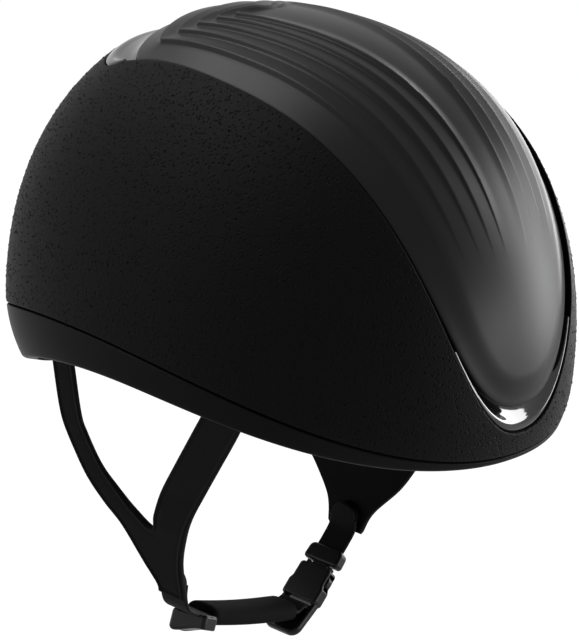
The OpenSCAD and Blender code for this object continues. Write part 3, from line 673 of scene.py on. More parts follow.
@dataclass(frozen=True)
class Finish:
    """A finish of the helmet: its base colour, its roughness and its shine."""

    name: str
    colour: tuple[float, float, float]
    roughness: float
    specular: float = 0.5

    def surface(self, s: Shader) -> Surface:
        """Says what the shader shows."""
        raise NotImplementedError

    def tinted(self, s: Shader, share: Value, spread: float) -> Value:
        """The base colour, darker and lighter by a spread."""
        low = tuple(c * (1 - spread) for c in self.colour)
        high = tuple(c * (1 + spread) for c in self.colour)
        return s.tint(share, low, high)

    def build(self) -> bpy.types.Material:
        """Makes the material.

        Returns:
            The material.
        """
        made = bpy.data.materials.new(self.name)
        s = Shader(made)
        look = self.surface(s)
        relief = {"Strength": 1.0, "Distance": look.relief * MM, "Height": look.height}
        bump = s.node("ShaderNodeBump", None, relief)
        shader = s.node("ShaderNodeBsdfPrincipled", None, {
            "Base Color": look.colour, "Roughness": look.roughness, "Normal": bump.outputs[0],
            "Metallic": look.metallic, "Specular IOR Level": look.specular, "Sheen Weight": look.sheen})
        s.node("ShaderNodeOutputMaterial", None, {0: shader.outputs[0]})
        return made


@dataclass(frozen=True)
class PebbledShell(Finish):
    """Matt shell paint with a fine pebbled grain."""

    grain_per_mm: float = 1.6
    pits_per_mm: float = 0.5
    pit_edge: tuple[float, float] = (0.04, 0.34)
    relief: float = 0.4

    def surface(self, s: Shader) -> Surface:
        """Pebbles of two sizes with pits between them, and painted shade that darkens the pits.

        Args:
            s: the shader to build with.

        Returns:
            What the finish shows.
        """
        place = s.place()
        fine = s.noise(place, self.grain_per_mm, 3.0)
        pits = 1 - s.cells(place, self.pits_per_mm).ease(*self.pit_edge)
        grain = fine * 0.5 - pits
        rough = self.roughness + (fine - 0.5) * 0.25
        # Painted shade: the colour follows the height, darker in the pits and on low grain, lighter on raised
        # grain.
        tone = self.tinted(s, fine - pits * 0.8, 0.5)
        return Surface(tone, rough, grain, self.relief, specular=self.specular)


@dataclass(frozen=True)
class SatinMoulding(Finish):
    """Smooth satin moulding with a very fine spark-eroded texture."""

    texture: float = 0.012
    fine_per_mm: float = 4.0
    slow_per_mm: float = 0.02
    uneven: float = 0.08

    def surface(self, s: Shader) -> Surface:
        """Fine texture and a slow change of sheen.

        Args:
            s: the shader to build with.

        Returns:
            What the finish shows.
        """
        place = s.place()
        fine = s.noise(place, self.fine_per_mm)
        slow = s.noise(place, self.slow_per_mm)
        rough = self.roughness + (slow - 0.5) * self.uneven + (fine - 0.5) * self.uneven
        return Surface(self.tinted(s, slow, 0.1), rough, fine, self.texture, specular=self.specular)


@dataclass(frozen=True)
class FoamBeads(Finish):
    """Moulded bead foam: polygons of pressed beads with fine seams between them."""

    bead: float = 3.2
    seam_share: float = 0.12
    tone_per_mm: float = 0.3
    relief: float = 0.12

    def surface(self, s: Shader) -> Surface:
        """Beads with sunken seams.

        Args:
            s: the shader to build with.

        Returns:
            What the finish shows.
        """
        place = s.place()
        seam = s.cells(place, 1 / self.bead, "DISTANCE_TO_EDGE").ease(0.0, self.seam_share)
        tone = s.noise(place, self.tone_per_mm)
        rough = self.roughness + (1 - seam) * 0.15
        return Surface(self.tinted(s, tone, 0.2), rough, seam, self.relief, specular=self.specular)


@dataclass(frozen=True)
class Knit(Finish):
    """Soft knitted cloth: rows of loops over a slow fuzz."""

    loop: float = 0.9
    nap: float = 0.35
    fuzz_per_mm: float = 1.2
    relief: float = 0.16

    def surface(self, s: Shader) -> Surface:
        """Loops from crossed waves, softened by noise, with painted shade between the loops.

        Args:
            s: the shader to build with.

        Returns:
            What the finish shows.
        """
        place = s.place()
        x, y, z = s.axes(place)
        turn = 2 * math.pi / (self.loop * MM)
        rows = ((x + z * 0.6) * turn).maths("SINE")
        files = ((y + z * 0.5) * turn).maths("SINE")
        fuzz = s.noise(place, self.fuzz_per_mm, 4.0)
        loops = rows * files * 0.25 + 0.5
        height = loops * 0.6 + fuzz * 0.4
        rough = self.roughness + (fuzz - 0.5) * 0.1
        # Painted shade: the colour follows the loops' height, darker between the loops and lighter on their
        # tops.
        return Surface(self.tinted(s, height, 0.35), rough, height, self.relief,
                       specular=self.specular, sheen=self.nap)


@dataclass(frozen=True)
class CoatedStrap(Finish):
    """Smooth coated strap: a fine leather-like grain with small creases."""

    cells_per_mm: float = 1.1
    creases_per_mm: float = 0.12
    relief: float = 0.1

    def surface(self, s: Shader) -> Surface:
        """Grain cells and slow creases.

        Args:
            s: the shader to build with.

        Returns:
            What the finish shows.
        """
        place = s.place()
        grain = s.cells(place, self.cells_per_mm, "DISTANCE_TO_EDGE").ease(0.0, 0.25)
        slow = s.noise(place, self.creases_per_mm, 3.0)
        height = grain * 0.35 + slow
        rough = self.roughness + (slow - 0.5) * 0.2 - grain * 0.04
        return Surface(self.tinted(s, slow, 0.25), rough, height, self.relief, specular=self.specular)


@dataclass(frozen=True)
class Woven(Finish):
    """Woven webbing: diagonal ribs across the band, from its own UV map in metres."""

    rib: float = 1.3
    fibres_per_mm: float = 2.5
    relief: float = 0.14
    nap: float = 0.02

    def surface(self, s: Shader) -> Surface:
        """A twill of warp and weft ribs, with painted shade between the ribs.

        Args:
            s: the shader to build with.

        Returns:
            What the finish shows.
        """
        u, v, _ = s.axes(s.place("UV"))
        turn = 2 * math.pi / (self.rib * MM)
        twill = ((u + v) * turn).maths("SINE")
        weft = ((v - u * 0.2) * turn * 2).maths("SINE")
        fibre = s.noise(s.place(), self.fibres_per_mm)
        height = twill * 0.3 + weft * 0.15 + fibre * 0.2 + 0.4
        rough = self.roughness + (fibre - 0.5) * 0.12
        # Painted shade: the colour follows the weave's height, darker between the ribs and lighter on their
        # crests.
        return Surface(self.tinted(s, height, 0.4), rough, height, self.relief,
                       specular=self.specular, sheen=self.nap)


@dataclass(frozen=True)
class Brushed(Finish):
    """Plated steel with fine lines."""

    lines_per_mm: float = 5.0
    relief: float = 0.01

    def surface(self, s: Shader) -> Surface:
        """Lines along one axis.

        Args:
            s: the shader to build with.

        Returns:
            What the finish shows.
        """
        x, y, z = s.axes(s.place())
        line = s.node("ShaderNodeCombineXYZ", None, {0: x * 0.1, 1: y * 0.1, 2: z})
        fine = s.noise(line.outputs[0], self.lines_per_mm)
        rough = self.roughness + (fine - 0.5) * 0.2
        return Surface(self.tinted(s, fine, 0.15), rough, fine, self.relief, metallic=1.0)


@dataclass(frozen=True)
class Wardrobe:
    """All the finishes, built once."""

    made: dict[str, bpy.types.Material]

    @staticmethod
    def open() -> "Wardrobe":
        """Builds each finish under the name of its slot."""
        finishes = [
            PebbledShell("shell_matt", (0.0045, 0.0045, 0.0047), 0.5, 0.028),
            SatinMoulding("panel_satin", (0.004, 0.004, 0.0042), 0.4, 0.12),
            SatinMoulding("band_matt", (0.006, 0.006, 0.0062), 0.42, 0.024, 0.02),
            SatinMoulding("trim_gloss", (0.004, 0.004, 0.004), 0.07, 0.5, 0.001),
            FoamBeads("foam", (0.02, 0.02, 0.021), 0.75, 0.25),
            Knit("pad_cloth", (0.012, 0.012, 0.013), 0.9, 0.2),
            Knit("chin_cloth", (0.003, 0.003, 0.0032), 0.8, 0.02, 0.7, 0.0),
            Knit("hook_tape", (0.01, 0.01, 0.01), 0.9, 0.2, 0.8),
            Brushed("anchor_steel", (0.5, 0.5, 0.51), 0.35),
            CoatedStrap("harness", (0.003, 0.003, 0.0032), 0.55, 0.024),
            Woven("webbing", (0.004, 0.004, 0.0042), 0.7, 0.05),
            SatinMoulding("buckle_plastic", (0.0035, 0.0035, 0.0037), 0.36, 0.11, 0.01),
        ]
        return Wardrobe({f.name: f.build() for f in finishes})


class Workshop:
    """Turns points and faces into pieces that ride on the frame."""

    def __init__(self, wardrobe: Wardrobe) -> None:
        """Keeps the finishes."""
        self.finish = wardrobe.made

    def mesh(self, name: str, points: Array, faces: Faces, finish: str, crisp: float = 0.0,
             uv: Array | None = None) -> bpy.types.Object:
        """Makes a smooth-shaded mesh object from points in millimetres.

        Args:
            name: the object's name.
            points: the points.
            faces: the faces.
            finish: the finish's name.
            crisp: edges sharper than this many degrees stay crisp, where it isn't 0.
            uv: a place on the pattern for each point, in metres.

        Returns:
            The object, linked to the scene.
        """
        data = bpy.data.meshes.new(name)
        data.from_pydata((np.asarray(points) * MM).tolist(), [], faces)
        if uv is not None:
            layer = data.uv_layers.new(name="pattern")
            corners = np.zeros(len(data.loops), int)
            data.loops.foreach_get("vertex_index", corners)
            layer.data.foreach_set("uv", np.asarray(uv, np.float32)[corners].ravel())
        work = bmesh.new()
        work.from_mesh(data)
        bmesh.ops.recalc_face_normals(work, faces=work.faces)
        work.to_mesh(data)
        work.free()
        return self.link(name, data, finish, crisp)

    def link(self, name: str, data: bpy.types.Mesh, finish: str, crisp: float = 0.0) -> bpy.types.Object:
        """Links an object with that mesh and finish, shaded smooth.

        Args:
            name: the object's name.
            data: its mesh.
            finish: the finish's name.
            crisp: edges sharper than this many degrees stay crisp, where it isn't 0.

        Returns:
            The object.
        """
        data.polygons.foreach_set("use_smooth", [True] * len(data.polygons))
        if crisp:
            data.set_sharp_from_angle(angle=math.radians(crisp))
        data.materials.clear()
        data.materials.append(self.finish[finish])
        made = bpy.data.objects.new(name, data)
        bpy.context.scene.collection.objects.link(made)
        return made

    def settle(self, made: bpy.types.Object, body: Body, slot: str, *nodes: str) -> bpy.types.Object:
        """Makes a piece ride on its body and hides the CAD nodes that it stands for.

        Args:
            made: the piece.
            body: the body that it rides on.
            slot: not used.
            *nodes: the nodes that it stands for.

        Returns:
            The piece.
        """
        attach(made, body.value)
        if nodes:
            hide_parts(*nodes)
        LOG.info("%s on %s: %d faces", made.name, body.value, len(made.data.polygons))
        return made

    def baked(self, made: bpy.types.Object, name: str, finish: str, crisp: float = 0.0) -> bpy.types.Object:
        """Turns an object and its modifiers into a plain mesh object, and removes the first one.

        Args:
            made: the object.
            name: the new object's name.
            finish: its finish.
            crisp: edges sharper than this many degrees stay crisp.

        Returns:
            The new object.
        """
        graph = bpy.context.evaluated_depsgraph_get()
        graph.update()
        data = bpy.data.meshes.new_from_object(made.evaluated_get(graph))
        data.name = name
        bpy.data.objects.remove(made)
        return self.link(name, data, finish, crisp)

    def pierced(self, made: bpy.types.Object, shapes: tuple[Array, Faces], name: str, finish: str,
                crisp: float = 35.0, operation: str = "DIFFERENCE") -> bpy.types.Object:
        """Cuts closed shapes out of a closed mesh, or adds them to it.

        Args:
            made: the mesh to work on, which is replaced.
            shapes: points and faces of the shapes.
            name: the result's name.
            finish: the result's finish.
            crisp: edges sharper than this many degrees stay crisp.
            operation: DIFFERENCE to cut the shapes out, UNION to add them.

        Returns:
            The new object.
        """
        tool = self.mesh(name + "_shapes", *shapes, finish)
        cut = made.modifiers.new("cut", "BOOLEAN")
        cut.operation = operation
        cut.solver = "MANIFOLD"
        cut.object = tool
        result = self.baked(made, name, finish, crisp)
        bpy.data.objects.remove(tool)
        return result

    def squared(self, made: bpy.types.Object, *places: Place) -> bpy.types.Object:
        """Shades a moulding's flat faces flat, where they are square to one of its frames.

        Args:
            made: the moulding.
            *places: its frames.

        Returns:
            The moulding.
        """
        axes = np.vstack([(p.u, p.v, p.w) for p in places])
        axes /= np.linalg.norm(axes, axis=1, keepdims=True)
        for face in made.data.polygons:
            face.use_smooth = bool(np.abs(axes @ np.array(face.normal)).max() < FLAT_COSINE)
        return made

    def softened(self, node: str, slot: str) -> bpy.types.Object:
        """Copies a CAD node of the helmet's body and rounds its edges.

        Args:
            node: the CAD node.
            slot: its slot and finish.

        Returns:
            The piece that stands for the node.
        """
        weld, level, sharp, edge_w, edge_faces = 0.002, 1.5, 30.0, 0.25, 2
        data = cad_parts[node].data.copy()
        work = bmesh.new()
        work.from_mesh(data)
        bmesh.ops.remove_doubles(work, verts=work.verts, dist=weld * MM)
        bmesh.ops.dissolve_limit(work, angle_limit=math.radians(level), verts=work.verts, edges=work.edges)
        work.to_mesh(data)
        work.free()
        copy = self.link(node + "_copy", data, slot)
        bevel = copy.modifiers.new("edges", "BEVEL")
        bevel.width = edge_w * MM
        bevel.segments = edge_faces
        bevel.limit_method = "ANGLE"
        bevel.angle_limit = math.radians(sharp)
        made = self.baked(copy, node + "_piece", slot, 35)
        return self.settle(made, Body.HELMET, slot, node)


class GeometryTree:
    """A Geometry Nodes tree under construction."""

    def __init__(self, name: str) -> None:
        """Starts a tree with a geometry input and output.

        Args:
            name: the tree's name.
        """
        self.tree = bpy.data.node_groups.new(name, "GeometryNodeTree")
        self.tree.interface.new_socket("Geometry", in_out="INPUT", socket_type="NodeSocketGeometry")
        self.tree.interface.new_socket("Geometry", in_out="OUTPUT", socket_type="NodeSocketGeometry")
        self.identifiers: dict[str, str] = {}
        self.entry = self.tree.nodes.new("NodeGroupInput")
        self.exit = self.tree.nodes.new("NodeGroupOutput")

    def size(self, name: str, kind: str = "NodeSocketFloat") -> str:
        """Adds a named input and returns its name."""
        socket = self.tree.interface.new_socket(name, in_out="INPUT", socket_type=kind)
        self.identifiers[name] = socket.identifier
        return name

    def node(self, kind: str, settings: dict[str, Any] | None = None,
             inputs: dict[Any, Any] | None = None) -> bpy.types.Node:
        """Adds a node.

        Args:
            kind: the node's type.
            settings: properties, which are set first.
            inputs: a value, an output socket or a named input of the tree, for each socket.

        Returns:
            The node.
        """
        made = self.tree.nodes.new(kind)
        for key, value in (settings or {}).items():
            setattr(made, key, value)
        for key, value in (inputs or {}).items():
            if isinstance(value, bpy.types.NodeSocket):
                self.tree.links.new(value, made.inputs[key])
            elif isinstance(value, str) and value in self.identifiers:
                self.tree.links.new(self.entry.outputs[value], made.inputs[key])
            else:
                made.inputs[key].default_value = value
        return made

    def finish_with(self, instances: bpy.types.NodeSocket, material: str) -> None:
        """Realizes instances, gives them the material input and sends them out.

        Args:
            instances: the socket that gives them.
            material: the material input's name.
        """
        real = self.node("GeometryNodeRealizeInstances", None, {0: instances})
        shade = self.node("GeometryNodeSetShadeSmooth", None, {0: real.outputs[0]})
        dressed = self.node("GeometryNodeSetMaterial", None, {0: shade.outputs[0], "Material": material})
        self.tree.links.new(dressed.outputs[0], self.exit.inputs[0])

    def apply_to(self, made: bpy.types.Object, values: dict[str, Any]) -> None:
        """Adds the tree to an object as a modifier and sets its named inputs.

        Args:
            made: the object.
            values: the value of each named input.
        """
        modifier = made.modifiers.new(self.tree.name, "NODES")
        modifier.node_group = self.tree
        for name, value in values.items():
            modifier[self.identifiers[name]] = value


def pebble_tree() -> GeometryTree:
    """Tree that scatters low round pebbles over a surface.

    Returns:
        The tree.
    """
    t = GeometryTree("pebbles")
    radius, spacing, density = t.size("Radius"), t.size("Spacing"), t.size("Density")
    seed, material = t.size("Seed", "NodeSocketInt"), t.size("Material", "NodeSocketMaterial")
    spread = t.node("GeometryNodeDistributePointsOnFaces", {"distribute_method": "POISSON"}, {
        "Mesh": t.entry.outputs[0], "Distance Min": spacing, "Density Max": density, "Seed": seed})
    ball = t.node("GeometryNodeMeshIcoSphere", None, {"Radius": radius, "Subdivisions": 1})
    low = t.node("GeometryNodeTransform", None, {0: ball.outputs[0], "Scale": (1.0, 1.0, 0.62)})
    size = t.node("FunctionNodeRandomValue", {"data_type": "FLOAT"}, {2: 0.4, 3: 1.2, "Seed": seed})
    stood = t.node("GeometryNodeInstanceOnPoints", None,
                   {"Points": spread.outputs["Points"], "Instance": low.outputs[0],
                    "Rotation": spread.outputs["Rotation"], "Scale": size.outputs[1]})
    t.finish_with(stood.outputs[0], material)
    return t


@dataclass(frozen=True)
class Shell:
    """Moulded outer shell: pebbled outside, a dished recess over the crown and a rim band below."""

    workshop: Workshop
    outside: Dome = Dome(106, 139.5, 146.5, 142.5, 80)
    seam: SideCurve = SideCurve(-23.4, 8, -22.8, 7.6)
    rim: SideCurve = SideCurve(-26.2, -7.6, -64, 0)
    recess: CrownOutline = CrownOutline(-4.6, 119, 131, 58.5, 50.5, 2.2, 3)
    step: float = 1.7
    wall: float = 3.0
    groove: float = 1.0
    recess_depth: float = 7.0
    lip_round: float = 0.9
    foot_round: float = 0.7
    floor_round: float = 1.0
    rows: int = 64
    inner_rows: int = 14
    floor_rings: tuple[float, ...] = (3, 6, 10, 15, 21, 28, 36, 48, 70)
    slot_w: float = 5.0
    slot_l: float = 15.0
    slot_pitch: float = 11.0
    slot_count: int = 4
    slot_rows: tuple[float, ...] = (20, 108)
    slot_reach: float = 60.0
    grain_from: float = 1.5
    grain_to: float = 1.8
    grain_rows: int = 30
    grain_sink: float = 0.12
    pebble_r: float = 0.62
    pebble_gap: float = 1.7
    pebbles_per_mm2: float = 0.16
    pebble_seed: int = 7
    band_foot: float = 1.6
    band_top: float = 0.6
    band_wall: float = 2.4
    band_floor: float = 1.6
    band_reach: float = 5.5
    band_lip: float = 0.4

    def line(self) -> Array:
        """The recess's outline on the wearer's right, at even steps."""
        return self.recess.half(self.step)

    def azimuths(self) -> Array:
        """Azimuth of each column of the shell's grid."""
        q = self.line()
        p = self.outside.at_pitch(q[:, 0], q[:, 1])
        return np.degrees(np.arctan2(-p[:, 0], -p[:, 1]))

    def seam_row(self, lift: float, depth: float) -> Array:
        """Half loop above the seam by lift, depth mm inside the outer face."""
        return self.outside.cut(self.azimuths(), lambda y: self.seam.height(y) + lift, depth)

    def rim_row(self, lift: float, depth: float) -> Array:
        """Half loop above the rim by lift, depth mm inside the outer face."""
        level = self.outside.cut(self.azimuths(), self.rim.height)[:, 2]
        return self.outside.cut(self.azimuths(), lambda y: level + lift, depth)

    def recess_row(self, e: float, depth: float) -> Array:
        """Half loop e mm inside the recess's outline, depth mm inside the outer face."""
        i = self.recess.inset(self.line(), e)
        return self.outside.at_pitch(i[:, 0], i[:, 1], depth)

    def climb(self, low: Array, high: Array, count: int, depth: float) -> list[Array]:
        """Half loops that climb from one to another over the shell."""
        return [self.outside.on(mix(low, high, t), depth) for t in np.linspace(0, 1, count + 1)]

    def slots(self, extra: float) -> tuple[Array, Faces]:
        """The vent slots as closed cutters that go right through.

        Args:
            extra: how much wider than the slots the cutters are.

        Returns:
            Points and faces.
        """
        points, faces, start = [], [], 0
        ends = np.linspace(0, math.pi, CORNER_POINTS)
        r, half = self.slot_w / 2 + extra, (self.slot_l - self.slot_w) / 2
        arc = [(-r * math.cos(t), half + r * math.sin(t)) for t in ends]
        outline = np.array(arc + [(-x, -y) for x, y in arc])
        n = len(outline)
        for pitch in self.slot_rows:
            for k in range(self.slot_count):
                x = (k - (self.slot_count - 1) / 2) * self.slot_pitch
                middle = self.outside.at_pitch(np.array([pitch]), np.array([x]))
                normal = self.outside.normal(middle)[0]
                across = np.array([1.0, 0, 0]) - normal * normal[0]
                across /= np.linalg.norm(across)
                along = np.cross(normal, across)
                flat = outline[:, :1] * across + outline[:, 1:] * along
                points += [middle - self.slot_reach * normal + flat, middle + normal + flat]
                faces += band(start, start + n, n)
                faces += [tuple(range(start + n - 1, start - 1, -1)), tuple(range(start + n, start + 2 * n))]
                start += 2 * n
        return np.vstack(points), faces

    def build(self) -> None:
        """Builds the shell, its pebbles and the rim band."""
        self.build_shell()
        self.build_pebbles()
        self.build_band()

    def build_shell(self) -> None:
        """Builds the shell with its recess and its vent slots."""
        half_groove = self.groove / 2
        foot_at = self.recess_depth - self.floor_round
        outer = [self.seam_row(half_groove + up, depth) for depth, up in rounding(self.foot_round)]
        edge = self.recess_row(-self.lip_round, 0)
        outer += self.climb(outer[-1], edge, self.rows, 0)[1:]
        outer += [self.recess_row(-out, depth) for out, depth in rounding(self.lip_round)[1:]]
        outer += [self.recess_row(0, d) for d in (foot_at / 2, foot_at)]
        outer += [self.recess_row(e, self.recess_depth - up) for up, e in rounding(self.floor_round)[1:]]
        outer += [self.recess_row(e, self.recess_depth) for e in self.floor_rings]
        low = self.seam_row(half_groove, self.wall)
        high = self.recess_row(-self.wall, self.wall)
        under = self.recess_depth + self.wall
        inner = self.climb(low, high, self.inner_rows, self.wall)
        inner += [self.recess_row(e, under) for e in (-self.wall, *self.floor_rings)]
        points, faces = sheets([whole(h) for h in outer], [whole(h) for h in inner])
        solid = self.workshop.mesh("shell_solid", points, faces, "shell_matt")
        made = self.workshop.pierced(solid, self.slots(0), "moulded_shell", "shell_matt", 40)
        self.workshop.settle(made, Body.HELMET, "shell_matt", "outer_shell")

    def build_pebbles(self) -> None:
        """Scatters the raised grain over the shell's outside."""
        low, high = self.seam_row(self.groove / 2 + self.grain_from, 0), self.recess_row(-self.grain_to, 0)
        rows = [whole(h) for h in self.climb(low, high, self.grain_rows, self.grain_sink)]
        n = len(rows[0])
        faces: Faces = []
        for r in range(len(rows) - 1):
            faces += [f[::-1] for f in band(r * n, (r + 1) * n, n)]
        data = bpy.data.meshes.new("grain_ground")
        data.from_pydata((np.vstack(rows) * MM).tolist(), [], faces)
        ground = bpy.data.objects.new("grain_ground", data)
        bpy.context.scene.collection.objects.link(ground)
        pebble_tree().apply_to(ground, {
            "Radius": self.pebble_r * MM, "Spacing": self.pebble_gap * MM, "Seed": self.pebble_seed,
            "Density": self.pebbles_per_mm2 / MM**2, "Material": self.workshop.finish["shell_matt"]})
        made = self.workshop.baked(ground, "shell_grain", "shell_matt")
        self.workshop.settle(made, Body.HELMET, "shell_matt")

    def build_band(self) -> None:
        """Builds the band below the groove, rolled in under the foam."""
        wall, floor, reach, lip = self.band_wall, self.band_floor, self.band_reach, self.band_lip
        edge = -self.groove / 2
        low = [self.rim_row(up, depth) for depth, up in rounding(self.band_foot)]
        high = [self.seam_row(edge - down, depth) for down, depth in rounding(self.band_top)]
        rise = self.climb(low[-1], high[0], 8, 0)[1:-1]
        inside = [(floor, wall), (floor, reach - lip), (floor - lip, reach), (lip, reach), (0, reach - lip)]
        back = [self.seam_row(edge, wall), *(self.rim_row(up, depth) for up, depth in inside)]
        points, faces = tube([whole(h) for h in low + rise + high + back], True)
        made = self.workshop.mesh("moulded_rim_band", points, faces, "band_matt", 40)
        self.workshop.settle(made, Body.HELMET, "band_matt", "rim_band")


@dataclass(frozen=True)
class CrownPanel:
    """Satin panel in the shell's recess, with terraced ripples, and the glossy trims at its two ends."""

    workshop: Workshop
    shell: Shell
    outline: CrownOutline = CrownOutline(0.2, 114, 121.5, 56.8, 49.2, 2.45, 2.6)
    thickness: float = 3.0
    sink: float = 2.4
    border_rise: float = 1.3
    rise_from: float = 3.0
    rise_span: float = 12.0
    fade_from: float = 26.0
    fade_span: float = 34.0
    ripples: int = 5
    pitch: float = 8.4
    ripple_h: float = 1.4
    step_w: float = 1.2
    ramp_power: float = 1.4
    rear_spread: float = 0.5
    border: float = 10.0
    edge_round: float = 1.0
    middle_rings: tuple[float, ...] = (4, 12, 30)
    back_rings: tuple[float, ...] = (0.8, 6, 14, 22, 30, 38, 46, 58, 80)
    trim_gap: float = 0.4
    trim_lift: float = 0.3
    trim_until: float = 13.3
    front_crest: tuple = ((0, 1.4), (0.07, 0.95), (0.16, 0.8), (0.36, 1.3), (0.6, 3.4), (0.85, 5.1),
                          (1.12, 5.7))
    rear_crest: tuple = ((0, 0.8), (0.03, 0.25), (0.08, 0.1), (0.22, 0.4), (0.4, 2.6), (0.62, 4.2),
                         (0.88, 4.6))

    def level(self, e: float) -> float:
        """Depth of the panel's face below the shell's face, e mm in from its edge, without ripples."""
        return self.sink - self.border_rise * smooth((e - self.rise_from) / self.rise_span)

    def fade(self, a: Array) -> Array:
        """How far the ripples have grown at pitch angles."""
        return smooth((a - self.fade_from) / self.fade_span)

    def ripple(self, e: float) -> float:
        """Height of the ripples e mm in from the edge: a steep side outside, a long ramp inside.

        Args:
            e: distance in from the panel's edge.

        Returns:
            The height.
        """
        turns = (e - self.border) / self.pitch
        if turns < 0 or turns >= self.ripples:
            return 0.0
        share, steep = turns % 1, self.step_w / self.pitch
        if share < steep:
            return self.ripple_h * float(smooth(share / steep))
        return self.ripple_h * (1 - (share - steep) / (1 - steep)) ** self.ramp_power

    def top(self, e: float, drop: float = 0.0) -> Array:
        """Half loop of the panel's face, e mm in from its edge and drop mm below it.

        Args:
            e: distance in from the panel's edge.
            drop: distance below the face.

        Returns:
            The half loop's points.
        """
        q = self.outline.half(self.shell.step)
        rear = (q[:, 0] - self.outline.corner) / (self.outline.rear - self.outline.corner)
        width = e * (1 + self.rear_spread * smooth(rear))
        i = self.outline.inset(q, width)
        up = self.ripple(e) * self.outline.room(q, width) * self.fade(i[:, 0])
        return self.shell.outside.at_pitch(i[:, 0], i[:, 1], self.level(e) - up + drop)

    def back(self, e: float) -> Array:
        """Half loop of the panel's underside, e mm in from its edge."""
        i = self.outline.inset(self.outline.half(self.shell.step), e)
        return self.shell.outside.at_pitch(i[:, 0], i[:, 1], self.level(e) + self.thickness)

    def rings(self) -> list[float]:
        """Distances in from the edge at which the panel's face has loops, close on the steep sides.

        Returns:
            The distances, outermost first.
        """
        made = list(np.linspace(self.edge_round, self.border, 6))
        for r in range(self.ripples):
            at = self.border + r * self.pitch
            made += [at + self.step_w * s for s in (0.2, 0.4, 0.6, 0.8, 1.0)]
            made += list(np.linspace(at + self.step_w, at + self.pitch, 10)[1:])
        return made + [made[-1] + e for e in self.middle_rings]

    def build(self) -> None:
        """Builds the panel and its trims."""
        outer = [self.back(0)] + [self.top(e, drop) for drop, e in rounding(self.edge_round)]
        outer += [self.top(e) for e in self.rings()[1:]]
        inner = [self.back(e) for e in self.back_rings]
        points, faces = sheets([whole(h) for h in outer], [whole(h) for h in inner])
        made = self.workshop.mesh("rippled_panel", points, faces, "panel_satin", 50)
        self.workshop.settle(made, Body.HELMET, "panel_satin", "vent_panel")
        self.build_trim("front_trim", "front_vent_trim", True)
        self.build_trim("rear_trim", "rear_vent_trim", False)

    def gap(self, q: Array) -> Array:
        """Distance from the recess's edge to the panel's edge at outline points.

        Args:
            q: points of the recess's outline.

        Returns:
            A distance for each point.
        """
        widest, halvings = 30.0, 20
        edge, full = self.outline, self.outline.corner_full
        lo, hi = np.zeros(len(q)), np.full(len(q), widest)
        for _ in range(halvings):
            mid = (lo + hi) / 2
            pitch, x = self.shell.recess.inset(q, mid).T
            inside = (np.abs(x) < edge.half_width(pitch)) & (pitch > edge.tip)
            turn = np.clip((pitch - edge.corner) / (edge.rear - edge.corner), 0, 1)
            rear = edge.rear_half_w * (1 - turn ** full) ** (1 / full)
            inside = np.where(pitch > edge.corner, (pitch < edge.rear) & (np.abs(x) < rear), inside)
            lo, hi = np.where(inside, lo, mid), np.where(inside, mid, hi)
        return (lo + hi) / 2

    def build_trim(self, name: str, node: str, front: bool) -> None:
        """Builds the glossy trim at the panel's front or rear.

        Args:
            name: the piece's name.
            node: the node that it stands for.
            front: whether it is the front one.
        """
        floor = self.shell.recess_depth - self.trim_lift
        face = curved(self.front_crest if front else self.rear_crest, 0.12)
        section = [[face[0, 0], floor], *face.tolist(), [face[-1, 0], floor]]
        q = self.shell.line()
        q = q[q[:, 0] < self.trim_until] if front else q[q[:, 0] > self.shell.recess.corner][::-1]
        gaps = self.gap(q)
        rows = []
        for share, depth in section:
            i = self.shell.recess.inset(q, self.trim_gap + share * (gaps - self.trim_gap))
            half = self.shell.outside.at_pitch(i[:, 0], i[:, 1], depth)
            rows.append(np.vstack([half[:0:-1] * np.array([-1, 1, 1]), half]))
        points, faces = tube(rows, False)
        made = self.workshop.mesh(name, points, faces, "trim_gloss", 35)
        self.workshop.settle(made, Body.HELMET, "trim_gloss", node)


PadPlace = Callable[[Array, Array, Array], Array]


